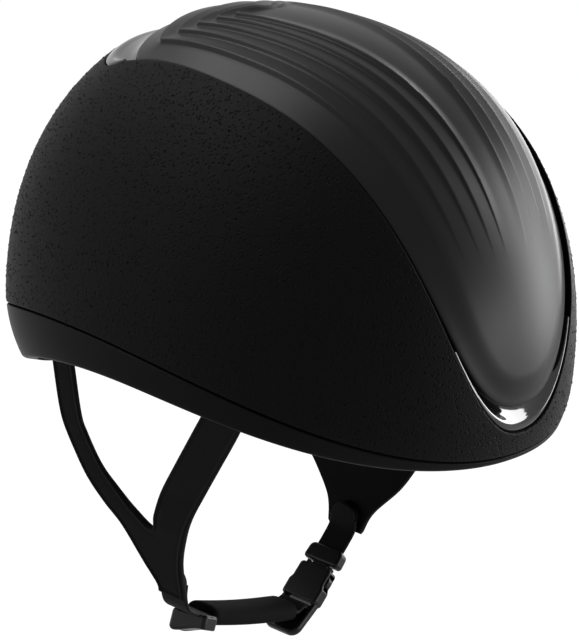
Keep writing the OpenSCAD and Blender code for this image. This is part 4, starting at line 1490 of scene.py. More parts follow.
@dataclass(frozen=True)
class Liner:
    """Foam liner with air channels, and the comfort pads on it."""

    workshop: Workshop
    shell: Shell
    head: Dome = Dome(83, 108, 112, 112, 86)
    gap: float = 0.6
    foot: float = 1.9
    foot_round: float = 3.0
    slot_margin: float = 1.0
    channel_x: float = 12.0
    channel_half_w: float = 6.5
    channel_depth: float = 5.0
    channel_slope: float = 3.0
    channel_from: float = 10.0
    channel_to: float = 116.0
    channel_fade: float = 8.0
    low_rows: int = 3
    side_rows: int = 12
    inner_rows: int = 24
    ring_step: float = 1.5
    ring_reach: float = 60.0
    stand: float = 2.6
    pad_t: float = 7.0
    pad_edge_t: float = 2.6
    pad_h: float = 30.0
    pad_rise: float = 5.0
    points_round: int = 160
    channel_floor: float = 0.62
    binding_at: float = 0.965
    binding_w: float = 0.02

    def head_row(self, q: Array) -> Array:
        """Half loop of the foam's inside below outline points, dished into its channels.

        Args:
            q: outline points.

        Returns:
            The half loop's points.
        """
        base = self.head.at_pitch(q[:, 0], q[:, 1])
        out = np.abs(np.abs(q[:, 1]) - self.channel_x) - self.channel_half_w
        side = 1 - smooth((out + 2) / self.channel_slope)
        start, end = ((q[:, 0] - pitch) / self.channel_fade for pitch in (self.channel_from, self.channel_to))
        run = smooth(start) * (1 - smooth(end))
        return self.head.on(base, -self.channel_depth * side * run)

    def build(self) -> None:
        """Builds the foam and the pads."""
        s = self.shell
        out = s.wall + self.gap
        under = s.recess_depth + out
        low = s.rim_row(self.foot, out)
        seam = s.seam_row(s.groove / 2, out)
        edge = s.recess_row(-out, out)
        outer = s.climb(low, seam, self.low_rows, out) + s.climb(seam, edge, self.side_rows, out)[1:]
        outer += [s.recess_row(e, under) for e in (-out, *s.floor_rings)]
        level = s.outside.cut(s.azimuths(), s.rim.height)[:, 2]
        inner = [self.head.cut(s.azimuths(), lambda y, up=up: level + self.foot + up, -back)
                 for back, up in rounding(self.foot_round, 5)]
        q = s.recess.inset(s.line(), -out)
        top = self.head.at_pitch(q[:, 0], q[:, 1])
        shares = np.linspace(0, 1, self.inner_rows + 1)[1:]
        inner += [self.head.on(mix(inner[-1], top, t)) for t in shares]
        rings = np.arange(self.ring_step, self.ring_reach, self.ring_step)
        inner += [self.head_row(s.recess.inset(s.line(), e)) for e in rings]
        points, faces = sheets([whole(h) for h in outer], [whole(h) for h in inner])
        solid = self.workshop.mesh("foam_solid", points, faces, "foam")
        made = self.workshop.pierced(solid, s.slots(self.slot_margin), "foam_liner", "foam", 40)
        self.workshop.settle(made, Body.HELMET, "foam", "impact_liner")
        self.build_pads()

    def round_place(self, start: float, end: float, mirrored: bool = False) -> PadPlace:
        """Place of a pad round the rim: along, up and in from the foam.

        Args:
            start: azimuth at which the pad starts.
            end: azimuth at which it ends.
            mirrored: whether it is on the wearer's left.

        Returns:
            A function from shares along and up, and a distance in from the foam, to points.
        """
        def place(u: Array, v: Array, depth: Array) -> Array:
            """Points of the pad.

            Args:
                u: shares along the rim.
                v: shares up the pad.
                depth: distances in from the foam.

            Returns:
                The points.
            """
            azimuth = mix(start, end, u)
            level = self.shell.outside.cut(azimuth, self.shell.rim.height)[..., 2]
            p = self.head.cut(azimuth, lambda y: level + self.pad_rise + v * self.pad_h, depth)
            return p * np.array([-1 if mirrored else 1, 1, 1])
        return place

    def crown_place(self, half_w: float, half_l: float) -> PadPlace:
        """Place of the crown pad: across, along and in from the foam.

        Args:
            half_w: half the pad's width.
            half_l: half its length.

        Returns:
            A function from shares across and along, and a distance in from the foam, to points.
        """
        def place(u: Array, v: Array, depth: Array) -> Array:
            """Points of the pad."""
            top = np.full_like(u, self.head.up)
            flat = np.stack([half_w * (2 * u - 1), half_l * (2 * v - 1), top], axis=-1)
            return self.head.on(flat, depth)
        return place

    def build_pads(self) -> None:
        """Builds the five comfort pads."""
        # piece, node, place, number of sewn channels, fullness of the outline
        pads = [("brow_cushion", "brow_pad", self.round_place(-48, 48), 6, 8.0),
                ("side_cushion_right", "side_pad_right", self.round_place(78, 106), 0, 5.0),
                ("side_cushion_left", "side_pad_left", self.round_place(78, 106, True), 0, 5.0),
                ("nape_cushion", "nape_pad", self.round_place(140, 220), 5, 7.0),
                ("crown_cushion", "crown_pad", self.crown_place(48, 62), 3, 2.6)]
        for name, node, place, channels, square in pads:
            points, faces = self.cushion(place, channels, square)
            made = self.workshop.mesh(name, points, faces, "pad_cloth")
            self.workshop.settle(made, Body.HELMET, "pad_cloth", node)

    def cushion(self, place: PadPlace, channels: int, square: float) -> tuple[Array, Faces]:
        """A puffed pad with a bound edge and sewn channels.

        Args:
            place: gives the pad's points.
            channels: number of sewn channels across it.
            square: fullness of the pad's outline.

        Returns:
            Points and faces.
        """
        t = np.linspace(0, 2 * math.pi, self.points_round, endpoint=False)
        reach = (np.abs(np.cos(t)) ** square + np.abs(np.sin(t)) ** square) ** (-1 / square)

        def loop(r: float, depth: Callable[[Array], Array]) -> Array:
            """The pad's loop at a share of its reach, at depths that depend on the place along it."""
            u, v = 0.5 + 0.5 * r * reach * np.cos(t), 0.5 + 0.5 * r * reach * np.sin(t)
            return place(u, v, depth(u))

        def face(r: float, u: Array) -> Array:
            """Depths of the cloth: puffed, drawn in at the channels and raised at the binding.

            Args:
                r: share of the pad's reach.
                u: shares along the pad.

            Returns:
                A depth for each place.
            """
            puff = (1 - r**4) ** 0.8
            if channels:
                wave = np.minimum(1, np.abs(np.sin(math.pi * channels * u)) * 2.2) ** 0.5
                puff = puff * (self.channel_floor + (1 - self.channel_floor) * wave)
            binding = 0.9 * math.exp(-((r - self.binding_at) / self.binding_w) ** 2)
            low = self.stand + self.pad_edge_t * 0.62
            return low + (self.pad_t - self.pad_edge_t) * puff + binding * 0.6 + 0 * u

        radii = np.concatenate([np.linspace(0.03, 0.9, 26), [0.93, 0.955, 0.975, 0.99, 1.0]])
        rows = [loop(r, lambda u, r=r: face(r, u)) for r in radii]
        for r, up in ((1.0, 0.8), (0.985, 0.15), (0.9, 0.0), (0.5, 0.0), (0.1, 0.0)):
            rows.append(loop(r, lambda u, up=up: np.full_like(u, self.stand + up)))
        points, faces = drum(rows)
        faces[0] = faces[0][::-1]  # wound as the faces next to it are
        return points, faces


@dataclass(frozen=True)
class Harness:
    """The four straps and the two yokes: on each side one coated cut with a rolled edge."""

    workshop: Workshop
    plane_x: float = 87.8
    lean: float = 12.6
    strap_t: float = 1.6
    yoke_t: float = 3.0
    front_w: float = 20.0
    rear_w: float = 14.0
    thick_from: float = -62.0
    thick_span: float = 26.0
    edge_rows: tuple[float, ...] = (0.25, 0.6, 1.1, 1.7, 2.3, 2.9, 3.6)
    edge_round: float = 0.8
    grid: float = 2.6
    step: float = 1.2
    bead_w: float = 2.3
    bead_h: float = 0.35
    bead_gap: float = 0.3
    groove_h: float = 0.18
    groove_w: float = 0.35
    lap_r: float = 7.0
    lap_t: float = 3.0
    lap_plane: float = 58.62
    near_lap_plane: float = 60.95
    near_lap_t: float = 1.25
    lap_edge: tuple = ((2.4, 0.0), (0.9, 0.03), (0.3, 0.16), (0.0, 0.4), (0.0, 1.0))
    swing_z: float = -114.0
    front_right: tuple = ((-52, 0), (-41, -18), (-29, -36), (-17, -54), (-6, -71), (0, -84))
    rear_right: tuple = ((59, 4), (58.5, -18), (58, -44), (55, -55), (47, -70), (37, -80), (27, -88))
    yoke_right: tuple = ((11.6, -88), ((19.8, -108), (12.3, -117), (12, -121)), ((-5, -121), (-5, -103)))
    front_left: tuple = ((-52, 0), (-41, -18), (-33, -37), (-25, -58), (-16, -77), (-9, -90))
    rear_left: tuple = ((59, 4), (58.5, -18), (58, -44), (55.5, -57), (49, -72), (39, -84), (29, -93))
    yoke_left: tuple = ((11, -90), ((25, -107), (21.5, -113), (19.3, -121)), ((-1.5, -121), (-5.5, -110)))

    def edges(self, path: Sequence[Sequence[float]], width: float) -> tuple[Array, Array]:
        """The rear and the front edge of a strap along its middle line.

        Args:
            path: the middle line's points.
            width: the strap's width.

        Returns:
            The two edges' points.
        """
        p = np.array(path, float)
        h = np.vstack([p[1] - p[0], p[2:] - p[:-2], p[-1] - p[-2]])
        h /= np.linalg.norm(h, axis=1, keepdims=True)
        side = np.stack([-h[:, 1], h[:, 0]], axis=1) * width / 2
        return p + side, p - side

    def outline(self, front: Sequence, rear: Sequence, yoke: Sequence) -> list[Array]:
        """The cut's outline as smooth runs between its corners.

        Args:
            front: middle line of the front strap.
            rear: middle line of the rear strap.
            yoke: the yoke's edges.

        Returns:
            The runs, in order round the cut.
        """
        front_back, front_fore = self.edges(front, self.front_w)
        rear_back, rear_fore = self.edges(rear, self.rear_w)
        crotch = np.vstack([front_back, [yoke[0]], rear_fore[::-1]])
        down = np.vstack([rear_back, yoke[1]])
        up = np.vstack([yoke[2], front_fore[::-1]])
        rear_top, foot, front_top = (evenly(np.array(ends, float), self.step) for ends in (
            (rear_fore[0], rear_back[0]), (yoke[1][-1], yoke[2][0]), (front_fore[0], front_back[0])))
        return [curved(crotch, self.step), rear_top, curved(down, self.step), foot, curved(up, self.step),
                front_top]

    def stand(self, flat: Array, out: Array, side: Side) -> Array:
        """Puts drawn points into the harness's side plane, out mm towards the outside.

        Args:
            flat: fore-and-aft places and heights.
            out: distance outwards from the plane.
            side: the wearer's side.

        Returns:
            The points.
        """
        lean = math.radians(self.lean)
        x = -self.plane_x - flat[:, 1] * math.tan(lean) - out * math.cos(lean)
        z = flat[:, 1] - out * math.sin(lean)
        return np.stack([x * side.value, flat[:, 0], z], axis=1)

    def lap(self, side: Side) -> tuple[Array, Faces]:
        """The round sewn lap inside a yoke's end, square to the axis of the swing.

        Args:
            side: the wearer's side.

        Returns:
            Points and faces.
        """
        plane = self.near_lap_plane if side is Side.RIGHT else self.lap_plane
        deep = self.near_lap_t if side is Side.RIGHT else self.lap_t
        place = loop_place(-side.value * plane, self.swing_z, 90)
        profile = [(self.lap_r - inset, -side.value * share * deep) for inset, share in self.lap_edge]
        return turned(profile, place, 40)

    def build(self) -> None:
        """Builds both sides and their anchors."""
        self.build_side(Side.RIGHT, self.front_right, self.rear_right, self.yoke_right, "right")
        self.build_side(Side.LEFT, self.front_left, self.rear_left, self.yoke_left, "left")
        for node in ("anchor_plates", "anchor_rivets"):
            self.workshop.softened(node, "anchor_steel")

    def build_side(self, side: Side, front: Sequence, rear: Sequence, yoke: Sequence, word: str) -> None:
        """Builds one side's cut with its lap.

        Args:
            side: the wearer's side.
            front: middle line of the front strap.
            rear: middle line of the rear strap.
            yoke: the yoke's edges.
            word: the side's word in names.
        """
        runs = self.outline(front, rear, yoke)
        edge = np.vstack([r[:-1] for r in runs])
        points, triangles, reach = filled(edge, self.edge_rows, self.grid)
        grown = smooth((self.thick_from - points[:, 1]) / self.thick_span)
        thick = mix(self.strap_t, self.yoke_t, grown)
        full = np.sqrt(np.clip(1 - (1 - np.minimum(reach / self.edge_round, 1)) ** 2, 0, 1))
        bead = self.bead_h * np.clip(1 - ((reach - self.bead_w / 2) / (self.bead_w / 2)) ** 2, 0, 1)
        groove = self.groove_h * np.exp(-((reach - self.bead_w - self.bead_gap) / self.groove_w) ** 2)
        outer = self.stand(points, thick / 2 * full + (bead - groove) * full, side)
        inner = self.stand(points, -thick / 2 * full, side)
        rim = len(edge)
        n = len(points)
        move = np.where(np.arange(n) < rim, np.arange(n), np.arange(n) + n - rim)
        faces = [tuple(t) for t in triangles] + [tuple(int(move[k]) for k in reversed(t)) for t in triangles]
        solid, faces = joined((np.vstack([outer, inner[rim:]]), faces), self.lap(side))
        made = self.workshop.mesh("harness_" + word, solid, faces, "harness", 50)
        self.workshop.settle(made, Body.HELMET, "harness", "front_strap_" + word, "rear_strap_" + word,
                             "yoke_" + word)


def in_loop(p: Array) -> Array:
    """Points given as sideways, fore-and-aft and height in the chin loop's own frame.

    Args:
        p: points in the loop's frame.

    Returns:
        The points in the helmet's frame.
    """
    chin_y, skew = 5.8, math.radians(2)
    c, s = math.cos(skew), math.sin(skew)
    x, y, z = p[..., 0], p[..., 1], p[..., 2]
    return np.stack([x * c - y * s, chin_y + x * s + y * c, z], axis=-1)


def loop_place(x: float, z: float, slope: float) -> Place:
    """A frame of the chin loop, drawn in front view.

    Args:
        x: sideways place of its origin.
        z: height of its origin.
        slope: angle in degrees from the wearer's left down to its first direction.

    Returns:
        The frame; its second direction is the loop's fore-and-aft one.
    """
    a = math.radians(slope)
    origin = in_loop(np.array([x, 0.0, z]))
    u, v, w = (in_loop(np.array(p)) - in_loop(np.zeros(3)) for p in (
        (math.cos(a), 0.0, -math.sin(a)), (0.0, 1.0, 0.0), (math.sin(a), 0.0, math.cos(a))))
    return Place(origin, u, v, w)


def filled(edge: Array, insets: Sequence[float], grid: float) -> tuple[Array, list[tuple[int, ...]], Array]:
    """Fills a flat closed outline with triangles, close at its edge and even inside.

    Args:
        edge: the outline's points, once round.
        insets: distances in from the edge at which more points follow it.
        grid: spacing of the points further in.

    Returns:
        All the points with the edge's first, the triangles, and each point's distance to the edge.
    """
    ahead = np.roll(edge, -1, axis=0)
    inward = inwards(edge)

    def reach(p: Array) -> Array:
        """Distance from points to the outline.

        Args:
            p: the points.

        Returns:
            The distances.
        """
        d = ahead - edge
        w = p[:, None] - edge[None]
        t = np.clip(np.sum(w * d, axis=2) / np.sum(d * d, axis=1), 0, 1)
        return np.linalg.norm(w - t[..., None] * d, axis=2).min(axis=1)

    def inside(p: Array) -> Array:
        """Whether points are inside the outline.

        Args:
            p: the points.

        Returns:
            True for each one inside.
        """
        x, y = p[:, 0, None], p[:, 1, None]
        cross = (edge[:, 1] > y) != (ahead[:, 1] > y)
        rise = np.where(cross, ahead[:, 1] - edge[:, 1], 1.0)
        at = edge[:, 0] + (y - edge[:, 1]) / rise * (ahead[:, 0] - edge[:, 0])
        return (np.sum(cross & (x < at), axis=1) % 2) == 1

    rows = []
    for e in insets:
        p = edge + inward * e
        rows.append(p[(reach(p) > e - 0.04) & inside(p)])
    low, high = edge.min(axis=0), edge.max(axis=0)
    across, upward = np.meshgrid(np.arange(low[0], high[0], grid), np.arange(low[1], high[1], grid * 0.87))
    across[1::2] += grid / 2
    p = np.stack([across.ravel(), upward.ravel()], axis=1)
    p = p[inside(p)]
    rows.append(p[reach(p) > insets[-1] + grid * 0.5])
    points = np.vstack([edge, *rows])
    n = len(edge)
    loop = [(k, (k + 1) % n) for k in range(n)]
    made = delaunay_2d_cdt([Vector(q) for q in points], loop, [], 1, 1e-5)
    source = [origin[0] for origin in made[3]]
    triangles = [tuple(source[k] for k in f) for f in made[2]]
    middles = np.array([points[list(t)].mean(axis=0) for t in triangles])
    kept = inside(middles)
    triangles = [t for t, keep in zip(triangles, kept) if keep]
    return points, triangles, reach(points) * (np.arange(len(points)) >= n)


def box(u: tuple[float, float], v: tuple[float, float], w: tuple[float, float],
        place: Place) -> tuple[Array, Faces]:
    """A plain block between distances along a place's three directions."""
    loop = np.array([(u[0], v[0]), (u[1], v[0]), (u[1], v[1]), (u[0], v[1])])
    rows = [place.at(np.column_stack([loop, np.full(4, h)])) for h in w]
    return np.vstack(rows), [(3, 2, 1, 0), *band(0, 4, 4), (4, 5, 6, 7)]


@dataclass(frozen=True)
class ChinStrap:
    """Chin webbing with its padded sleeve and slider."""

    workshop: Workshop
    webbing_w: float = 16.0
    webbing_t: float = 1.6
    swing_z: float = -114.0
    lap_r: float = 7.0
    tab_x: float = 57.52
    near_x: float = 60.0
    pad_w: float = 19.0
    pad_t: float = 9.4
    pad_from: tuple = (-41.0, -135.3)
    pad_to: tuple = (17.0, -149.8)
    sag: float = 0.9
    buckle_top: tuple = (49.72, -128.5)
    slope: float = 47.0
    body_end: float = 28.0
    bend: float = 11.0
    slider: tuple = (-46.62, -133.5, 21.7)
    slider_roll: float = 5.0
    slider_half_l: float = 4.9
    slider_ends: tuple = (-12.0, 10.1)
    slider_low: float = -10.0
    slider_high: float = 0.8
    slider_edge: float = 1.4
    slider_round: float = 5.0
    slider_taper: tuple = (8.0, 18.0, 0.4)
    slider_rear_t: float = 0.45
    channel: tuple = (-0.7, 9.0)
    channel_side: float = 0.3
    sleeve_full: float = 2.6
    sleeve_ends: tuple = (3.0, 1.2)
    sleeve_draw: tuple = (1.8, 0.7)

    def webbing(self, path: Sequence[Sequence[float]]) -> tuple[Array, Faces, Array]:
        """A band of webbing that follows a path drawn in front view.

        Args:
            path: sideways places and heights.

        Returns:
            Points, faces and places on the weave.
        """
        line = curved(path, 0.9)
        h = np.gradient(line, axis=0)
        h /= np.linalg.norm(h, axis=1, keepdims=True)
        normal = np.stack([-h[:, 1], h[:, 0]], axis=1)
        t, w = self.webbing_t / 2, self.webbing_w / 2
        turns = np.radians(np.linspace(-90, 90, 7))
        right = [(w - t + t * math.cos(a), t * math.sin(a)) for a in turns]
        section = right + [(x, t) for x in np.linspace(w - t, t - w, 12)[1:-1]]
        section += [(-x, -z) for x, z in right] + [(x, -t) for x in np.linspace(t - w, w - t, 12)[1:-1]]
        along = np.concatenate([[0], np.cumsum(np.linalg.norm(np.diff(line, axis=0), axis=1))])
        rows, places = [], []
        for across, out in section:
            flat = line + normal * out
            rows.append(in_loop(np.stack([flat[:, 0], np.full(len(flat), across), flat[:, 1]], axis=1)))
            places.append(np.stack([np.full(len(flat), across), along], axis=1) * MM)
        points, faces = tube(rows, False)
        return points, faces, np.vstack(places)

    def lapped(self, name: str, path: Sequence[Sequence[float]]) -> bpy.types.Object:
        """A band of webbing that starts with a round sewn lap on the axis of the swing.

        Args:
            name: the object's name.
            path: sideways places and heights.

        Returns:
            The object.
        """
        points, faces, uv = self.webbing(path)
        half = self.webbing_t / 2
        lap = turned(disc(self.lap_r, -half, half, 0.5), loop_place(path[0][0], self.swing_z, 90), 40)
        solid, faces = joined((points, faces), lap)
        return self.workshop.mesh(name, solid, faces, "webbing", 40, np.vstack([uv, lap[0][:, 1:] * MM]))

    def down_buckle(self, u: float, n: float) -> tuple[float, float]:
        """Point u mm down the buckle and n mm out of it, drawn in front view."""
        a = math.radians(self.slope)
        return (self.buckle_top[0] - u * math.cos(a) + n * math.sin(a),
                self.buckle_top[1] - u * math.sin(a) - n * math.cos(a))

    def down_tab(self, u: float, n: float) -> tuple[float, float]:
        """Point u mm down the buckle's bent tab and n mm out of it, drawn in front view."""
        x, z = self.down_buckle(self.body_end, 0)
        a = math.radians(self.slope - self.bend)
        return x - u * math.cos(a) + n * math.sin(a), z - u * math.sin(a) - n * math.cos(a)

    def build(self) -> None:
        """Builds the webbing, the sleeve and the slider."""
        self.build_webbing()
        self.build_sleeve()
        self.build_slider()

    def build_webbing(self) -> None:
        """Builds the three lengths of webbing."""
        start = self.swing_z + 0.1
        made = self.lapped("lower_strap", [(-self.near_x, start), (-self.near_x, -120.0), (-57.4, -126.8),
                                           (-50.5, -131.4), (-44, -133.6)])
        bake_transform(made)
        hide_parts("lower_webbing")
        chin = [(-48, -133.6), (-44, -134.5), (-41, -135.3), (-12, -142.55), (17, -149.8), (21.6, -149.8),
                self.down_tab(4.2, -3.6), self.down_tab(2.6, 0), self.down_tab(2.6, 2.2)]
        points, faces, uv = self.webbing(chin)
        made = self.workshop.mesh("chin_band", points, faces, "webbing", 40, uv)
        self.workshop.settle(made, Body.CHIN_STRAP, "webbing", "chin_webbing")
        made = self.lapped("tail_band", [(self.tab_x, start), (self.tab_x, -119), self.down_buckle(-5.6, 0),
                                         self.down_buckle(4.0, 0)])
        self.workshop.settle(made, Body.STRAP_TAIL, "webbing", "tail_webbing")

    def build_slider(self) -> None:
        """Builds the slider at the sleeve's near end."""
        place = loop_place(*self.slider).rolled(self.slider_roll)
        reach, (front, rear) = self.slider_half_l, self.slider_ends
        outline = rounded([(-reach, front, 1.8), (reach, front, 1.8), (reach, rear, 4.6),
                           (-reach, rear, 4.6)])
        level = Place(np.zeros(3), *np.eye(3))
        points, faces = plate(outline, self.slider_low, self.slider_high, self.slider_edge, level)
        taper_from, taper_span, taper = self.slider_taper
        thin = 1 - taper * smooth((taper_from - points[:, 1]) / taper_span)
        points[:, 2] *= np.where(points[:, 2] < 0, thin, 1.0)
        late = np.clip((points[:, 1] - rear + self.slider_round) / self.slider_round, 0, 1)
        left = mix(self.slider_rear_t, 1.0, np.sqrt(1 - late ** 2))
        middle = (self.slider_low + self.slider_high) / 2
        points[:, 2] = middle + (points[:, 2] - middle) * left
        body = self.workshop.mesh("slider_block", place.at(points), faces, "buckle_plastic")
        reach = self.webbing_w / 2 + self.channel_side
        channel = box((-20, 20), (-reach, reach), self.channel, place)
        made = self.workshop.pierced(body, channel, "ladder_slider", "buckle_plastic")
        self.workshop.squared(made, place)
        self.workshop.settle(made, Body.CHIN_STRAP, "buckle_plastic", "strap_adjuster")

    def build_sleeve(self) -> None:
        """Builds the padded sleeve, a little slack between its ends."""
        a, b = np.array(self.pad_from), np.array(self.pad_to)
        length = np.linalg.norm(b - a)
        d = (b - a) / length
        up = np.array([-d[1], d[0]])
        t = np.linspace(0, 2 * math.pi, 72, endpoint=False)
        full = self.sleeve_full
        reach = (np.abs(np.cos(t)) ** full + np.abs(np.sin(t)) ** full) ** (-1 / full)
        rows = []
        for k in 0.5 - 0.5 * np.cos(np.linspace(0, math.pi, 60)):
            near, far = (math.sqrt(max(0.0, 1 - max(0.0, 1 - share * length / end) ** 2))
                         for share, end in zip((k, 1 - k), self.sleeve_ends))
            half_w = self.pad_w / 2 - self.sleeve_draw[0] * (1 - near) - self.sleeve_draw[1] * (1 - far)
            half_t = (self.pad_t / 2) * (0.45 + 0.55 * near) * (0.8 + 0.2 * far)
            across, out = half_w * reach * np.cos(t), half_t * reach * np.sin(t)
            middle = a + d * length * k - up * self.sag * math.sin(math.pi * k)
            flat = middle + up * out[:, None]
            rows.append(in_loop(np.stack([flat[:, 0], across, flat[:, 1]], axis=1)))
        points, faces = drum(rows)
        made = self.workshop.mesh("chin_sleeve", points, faces, "chin_cloth", 60)
        self.workshop.settle(made, Body.CHIN_STRAP, "chin_cloth", "chin_pad")


@dataclass(frozen=True)
class Buckle:
    """Side-release buckle: a plug with two prongs, and a socket with a bent lifting tab."""

    workshop: Workshop
    top: tuple = (49.72, -128.5, 133.0)
    half: float = 10.5
    base_l: float = 8.6
    base_t: float = 6.0
    guide_t: float = 3.6
    base_slot: tuple = (-2.0, 4.4)
    base_slot_t: float = 2.2
    prong_t: float = 3.7
    edge: float = 1.4
    prong_edge: float = 0.5
    guide_edge: float = 0.4
    mouth: float = 10.6
    socket_t: float = 7.0
    socket_edge: float = 1.3
    rail: float = 9.4
    cavity: float = 8.5
    cavity_t: float = 4.6
    cavity_end: float = 22.0
    window: tuple = (12.2, 20.8)
    body_end: float = 28.0
    bend: float = 11.0
    tab_end: float = 19.4
    tab: tuple = (-1.8, 2.6)
    strap_slot: tuple = (0.8, 4.4)
    webbing_half: float = 8.3
    boss_u: float = 24.0
    boss_v: float = 6.4
    boss_sink: float = 0.8
    boss: tuple = ((2.6, 0.0), (2.6, 0.8), (2.4, 1.1), (1.8, 1.3), (0.7, 1.4))

    def hard(self, name: str, solid: tuple[Array, Faces]) -> bpy.types.Object:
        """A mesh of the buckle's plastic."""
        return self.workshop.mesh(name, *solid, "buckle_plastic", 35)

    def worked(self, body: bpy.types.Object, shapes: tuple[Array, Faces], name: str,
               operation: str = "DIFFERENCE") -> bpy.types.Object:
        """The body with shapes cut out of it or added to it."""
        return self.workshop.pierced(body, shapes, name, "buckle_plastic", 35, operation)

    def build(self) -> None:
        """Builds the plug, the prongs and the socket."""
        place = loop_place(*self.top)
        self.build_plug(place)
        self.build_prong(place, 1, Body.PRONG_REAR, "plug_prong_rear")
        self.build_prong(place, -1, Body.PRONG_FRONT, "plug_prong_front")
        self.build_socket(place)

    def build_plug(self, place: Place) -> None:
        """Builds the plug's base with its webbing slot and the guide between the prongs.

        Args:
            place: the buckle's frame.
        """
        h, half = self.base_t / 2, self.half
        outline = rounded([(0, -half + 0.6, 3.0), (self.base_l, -half, 1.8), (self.base_l, half, 1.8),
                           (0, half - 0.6, 3.0)])
        body = self.hard("plug_base", plate(outline, -h, h, self.edge, place))
        guide = rounded([(6, -4.2, 0.4), (11.6, -4.0, 0.6), (12.4, -1.4, 0.4), (16.0, -1.4, 0.6),
                         (16.0, 1.4, 0.6), (12.4, 1.4, 0.4), (11.6, 4.0, 0.6), (6, 4.2, 0.4)])
        g, w, reach = self.guide_t / 2, self.base_slot_t / 2, self.webbing_half
        body = self.worked(body, plate(guide, -g, g, self.guide_edge, place), "plug_whole", "UNION")
        made = self.worked(body, box(self.base_slot, (-reach, reach), (-w, w), place), "buckle_plug_base")
        self.workshop.squared(made, place)
        self.workshop.settle(made, Body.STRAP_TAIL, "buckle_plastic", "buckle_plug")

    def build_prong(self, place: Place, side: int, body: Body, node: str) -> None:
        """Builds one flexing prong with the bulge that catches in the socket's window.

        Args:
            place: the buckle's frame.
            side: 1 for the rear one, -1 for the front one.
            body: the body that it rides on.
            node: the node that it stands for.
        """
        corners = [(8.95, 5.35, 0.9), (19.95, 5.35, 0.9), (19.95, 7.4, 0.9), (19.2, 7.9, 0.5),
                   (18.7, 10.3, 1.6), (14.3, 10.3, 2.6), (13.2, 7.45, 1.4), (8.95, 7.45, 0.9)]
        outline = rounded([(u, side * v, r) for u, v, r in corners], 0.25)
        h = self.prong_t / 2
        made = self.hard(node + "_arm", plate(outline, -h, h, self.prong_edge, place))
        self.workshop.squared(made, place)
        self.workshop.settle(made, body, "buckle_plastic", node)

    def build_socket(self, place: Place) -> None:
        """Builds the socket: mouth, side windows, body, bosses and the bent tab with its slot.

        Args:
            place: the buckle's frame.
        """
        h, half, end = self.socket_t / 2, self.half, self.body_end
        shape = [(self.mouth, self.rail, 2.0), (self.window[1] - 2.0, self.rail, 1.5),
                 (self.window[1] + 0.4, half, 2.0), (end + 1.2, half, 2.0)]
        outline = rounded([(u, -v, r) for u, v, r in shape] + [(u, v, r) for u, v, r in reversed(shape)])
        body = self.hard("socket_body", plate(outline, -h, h, self.socket_edge, place))
        bent = place.tilted(end, self.bend)
        tab = rounded([(-4.0, -half + 0.3, 1.8), (self.tab_end, -half, 5.0), (self.tab_end, half, 5.0),
                       (-4.0, half - 0.3, 1.8)])
        body = self.worked(body, plate(tab, *self.tab, self.edge, bent), "socket_tab", "UNION")
        dome = [(r, h - self.boss_sink + z) for r, z in self.boss]
        feet = [Place(place.origin + place.u * self.boss_u + place.v * v, place.u, place.v, place.w)
                for v in (-self.boss_v, self.boss_v)]
        bosses = joined(*(turned(dome, foot, 40) for foot in feet))
        body = self.worked(body, bosses, "socket_boss", "UNION")
        reach, c = self.webbing_half, self.cavity_t / 2
        hollow = box((self.mouth - 2, self.cavity_end), (-self.cavity, self.cavity), (-c, c), place)
        body = self.worked(body, hollow, "socket_hollow")
        cuts = joined(box(self.window, (-half - 2, -self.cavity + 1), (-c, c), place),
                      box(self.window, (self.cavity - 1, half + 2), (-c, c), place),
                      box(self.strap_slot, (-reach, reach), (-9, 9), bent))
        made = self.worked(body, cuts, "release_socket")
        self.workshop.squared(made, place, bent)
        self.workshop.settle(made, Body.CHIN_STRAP, "buckle_plastic", "buckle_socket")


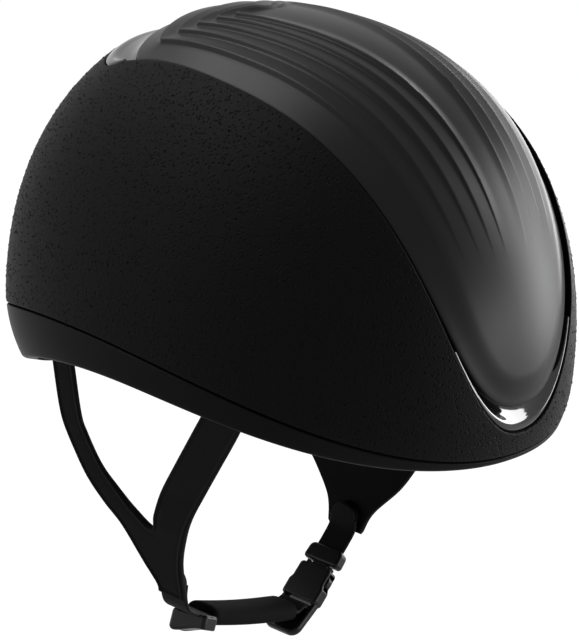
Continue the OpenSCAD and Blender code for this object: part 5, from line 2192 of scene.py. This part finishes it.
@dataclass(frozen=True)
class Studio:
    """Floor, background, lamps and camera."""

    azimuth: float = -48.016
    elevation: float = 19.102
    roll: float = 4.079
    distance: float = 1.5
    lens: float = 186.47
    shift: tuple[float, float] = (0.0012, -0.0011)
    floor_z: float = -0.42
    floor_half: float = 6.0
    floor_glow: float = 1.06
    floor_share: float = 0.92
    dim: float = 0.13

    def build(self) -> None:
        """Builds the studio and sets plain colours."""
        scene = bpy.context.scene
        scene.view_settings.view_transform = "Standard"
        self.build_camera(scene)
        self.build_world(scene)
        self.build_floor()
        self.lamp("key_softbox", (1.8, -1.0, 0.35), (0.9, 1.6), 72.0)
        self.lamp("right_rim", (1.95, 0.5, -0.05), (0.8, 1.8), 30.0)
        self.lamp("front_fill", (0.7, -1.9, -0.3), (1.2, 1.0), 42.0)
        self.lamp("top_softbox", (-0.6, 1.2, 1.7), (1.6, 1.2), 42.0)
        self.lamp("rear_strip", (-1.75, 1.45, 0.7), (0.5, 1.6), 9.0)

    def build_camera(self, scene: bpy.types.Scene) -> None:
        """Places the camera at the photograph's angle.

        Args:
            scene: the scene to look at.
        """
        a, e, roll = (math.radians(v) for v in (self.azimuth, self.elevation, self.roll))
        back = Vector((math.sin(a) * math.cos(e), -math.cos(a) * math.cos(e), math.sin(e)))
        right = Vector((math.cos(a), math.sin(a), 0))
        up = back.cross(right)
        right, up = right * math.cos(roll) + up * math.sin(roll), up * math.cos(roll) - right * math.sin(roll)
        data = bpy.data.cameras.new("camera")
        data.lens = self.lens
        data.shift_x, data.shift_y = self.shift
        camera = bpy.data.objects.new("camera", data)
        turn = Matrix((right, up, back)).transposed().to_4x4()
        camera.matrix_world = Matrix.Translation(back * self.distance) @ turn
        scene.collection.objects.link(camera)
        scene.camera = camera

    def seen(self, s: Shader) -> Value:
        """1 for rays from the camera and for reflected and transmitted ones, 0 for the rest."""
        path = s.node("ShaderNodeLightPath")
        camera, glossy, through = (Value(s, path.outputs[name]) for name in (
            "Is Camera Ray", "Is Glossy Ray", "Is Transmission Ray"))
        return (camera + glossy + through).maths("MINIMUM", 1.0)

    def build_world(self, scene: bpy.types.Scene) -> None:
        """Lights the object dimly from all round; the camera and reflections see white.

        Args:
            scene: the scene to light.
        """
        world = bpy.data.worlds.new("studio")
        s = Shader(world)
        strength = self.seen(s) * (1 - self.dim) + self.dim
        light = s.node("ShaderNodeBackground", None, {"Color": (1.0, 1.0, 1.0, 1.0), "Strength": strength})
        s.node("ShaderNodeOutputWorld", None, {0: light.outputs[0]})
        scene.world = world

    def build_floor(self) -> None:
        """Lays a wide pale floor, which shows white and keeps a soft shadow."""
        data = bpy.data.meshes.new("floor")
        r = self.floor_half
        corners = [(-r, -r), (r, -r), (r, r), (-r, r)]
        data.from_pydata([(x, y, self.floor_z) for x, y in corners], [], [(0, 1, 2, 3)])
        floor = bpy.data.objects.new("floor", data)
        pale = bpy.data.materials.new("pale_floor")
        s = Shader(pale)
        paint = s.node("ShaderNodeBsdfDiffuse", None, {"Color": (0.85, 0.85, 0.85, 1.0)})
        glow = s.node("ShaderNodeEmission", None, {"Strength": self.floor_glow})
        share = self.seen(s) * self.floor_share
        both = s.node("ShaderNodeMixShader", None, {0: share, 1: paint.outputs[0], 2: glow.outputs[0]})
        s.node("ShaderNodeOutputMaterial", None, {0: both.outputs[0]})
        data.materials.append(pale)
        bpy.context.scene.collection.objects.link(floor)

    def lamp(self, name: str, place: Sequence[float], size: Sequence[float], watts: float) -> None:
        """Hangs a soft area lamp that faces the helmet.

        Args:
            name: the lamp's name.
            place: where it hangs, in metres.
            size: its width and height, in metres.
            watts: its power.
        """
        data = bpy.data.lights.new(name, "AREA")
        data.shape = "RECTANGLE"
        data.size, data.size_y = size
        data.energy = watts
        lamp = bpy.data.objects.new(name, data)
        lamp.location = place
        lamp.rotation_euler = (-Vector(place)).to_track_quat("-Z", "Y").to_euler()
        bpy.context.scene.collection.objects.link(lamp)


def main() -> None:
    """Builds the studio and every part of the helmet in order."""
    logging.basicConfig(level=logging.INFO, format="%(name)s: %(message)s")
    Studio().build()
    workshop = Workshop(Wardrobe.open())
    shell = Shell(workshop)
    shell.build()
    CrownPanel(workshop, shell).build()
    Liner(workshop, shell).build()
    Harness(workshop).build()
    ChinStrap(workshop).build()
    Buckle(workshop).build()
    for node, slot in (("panel_pegs", "buckle_plastic"), ("pad_fasteners", "hook_tape")):
        workshop.softened(node, slot)


if __name__ == "__main__":
    main()
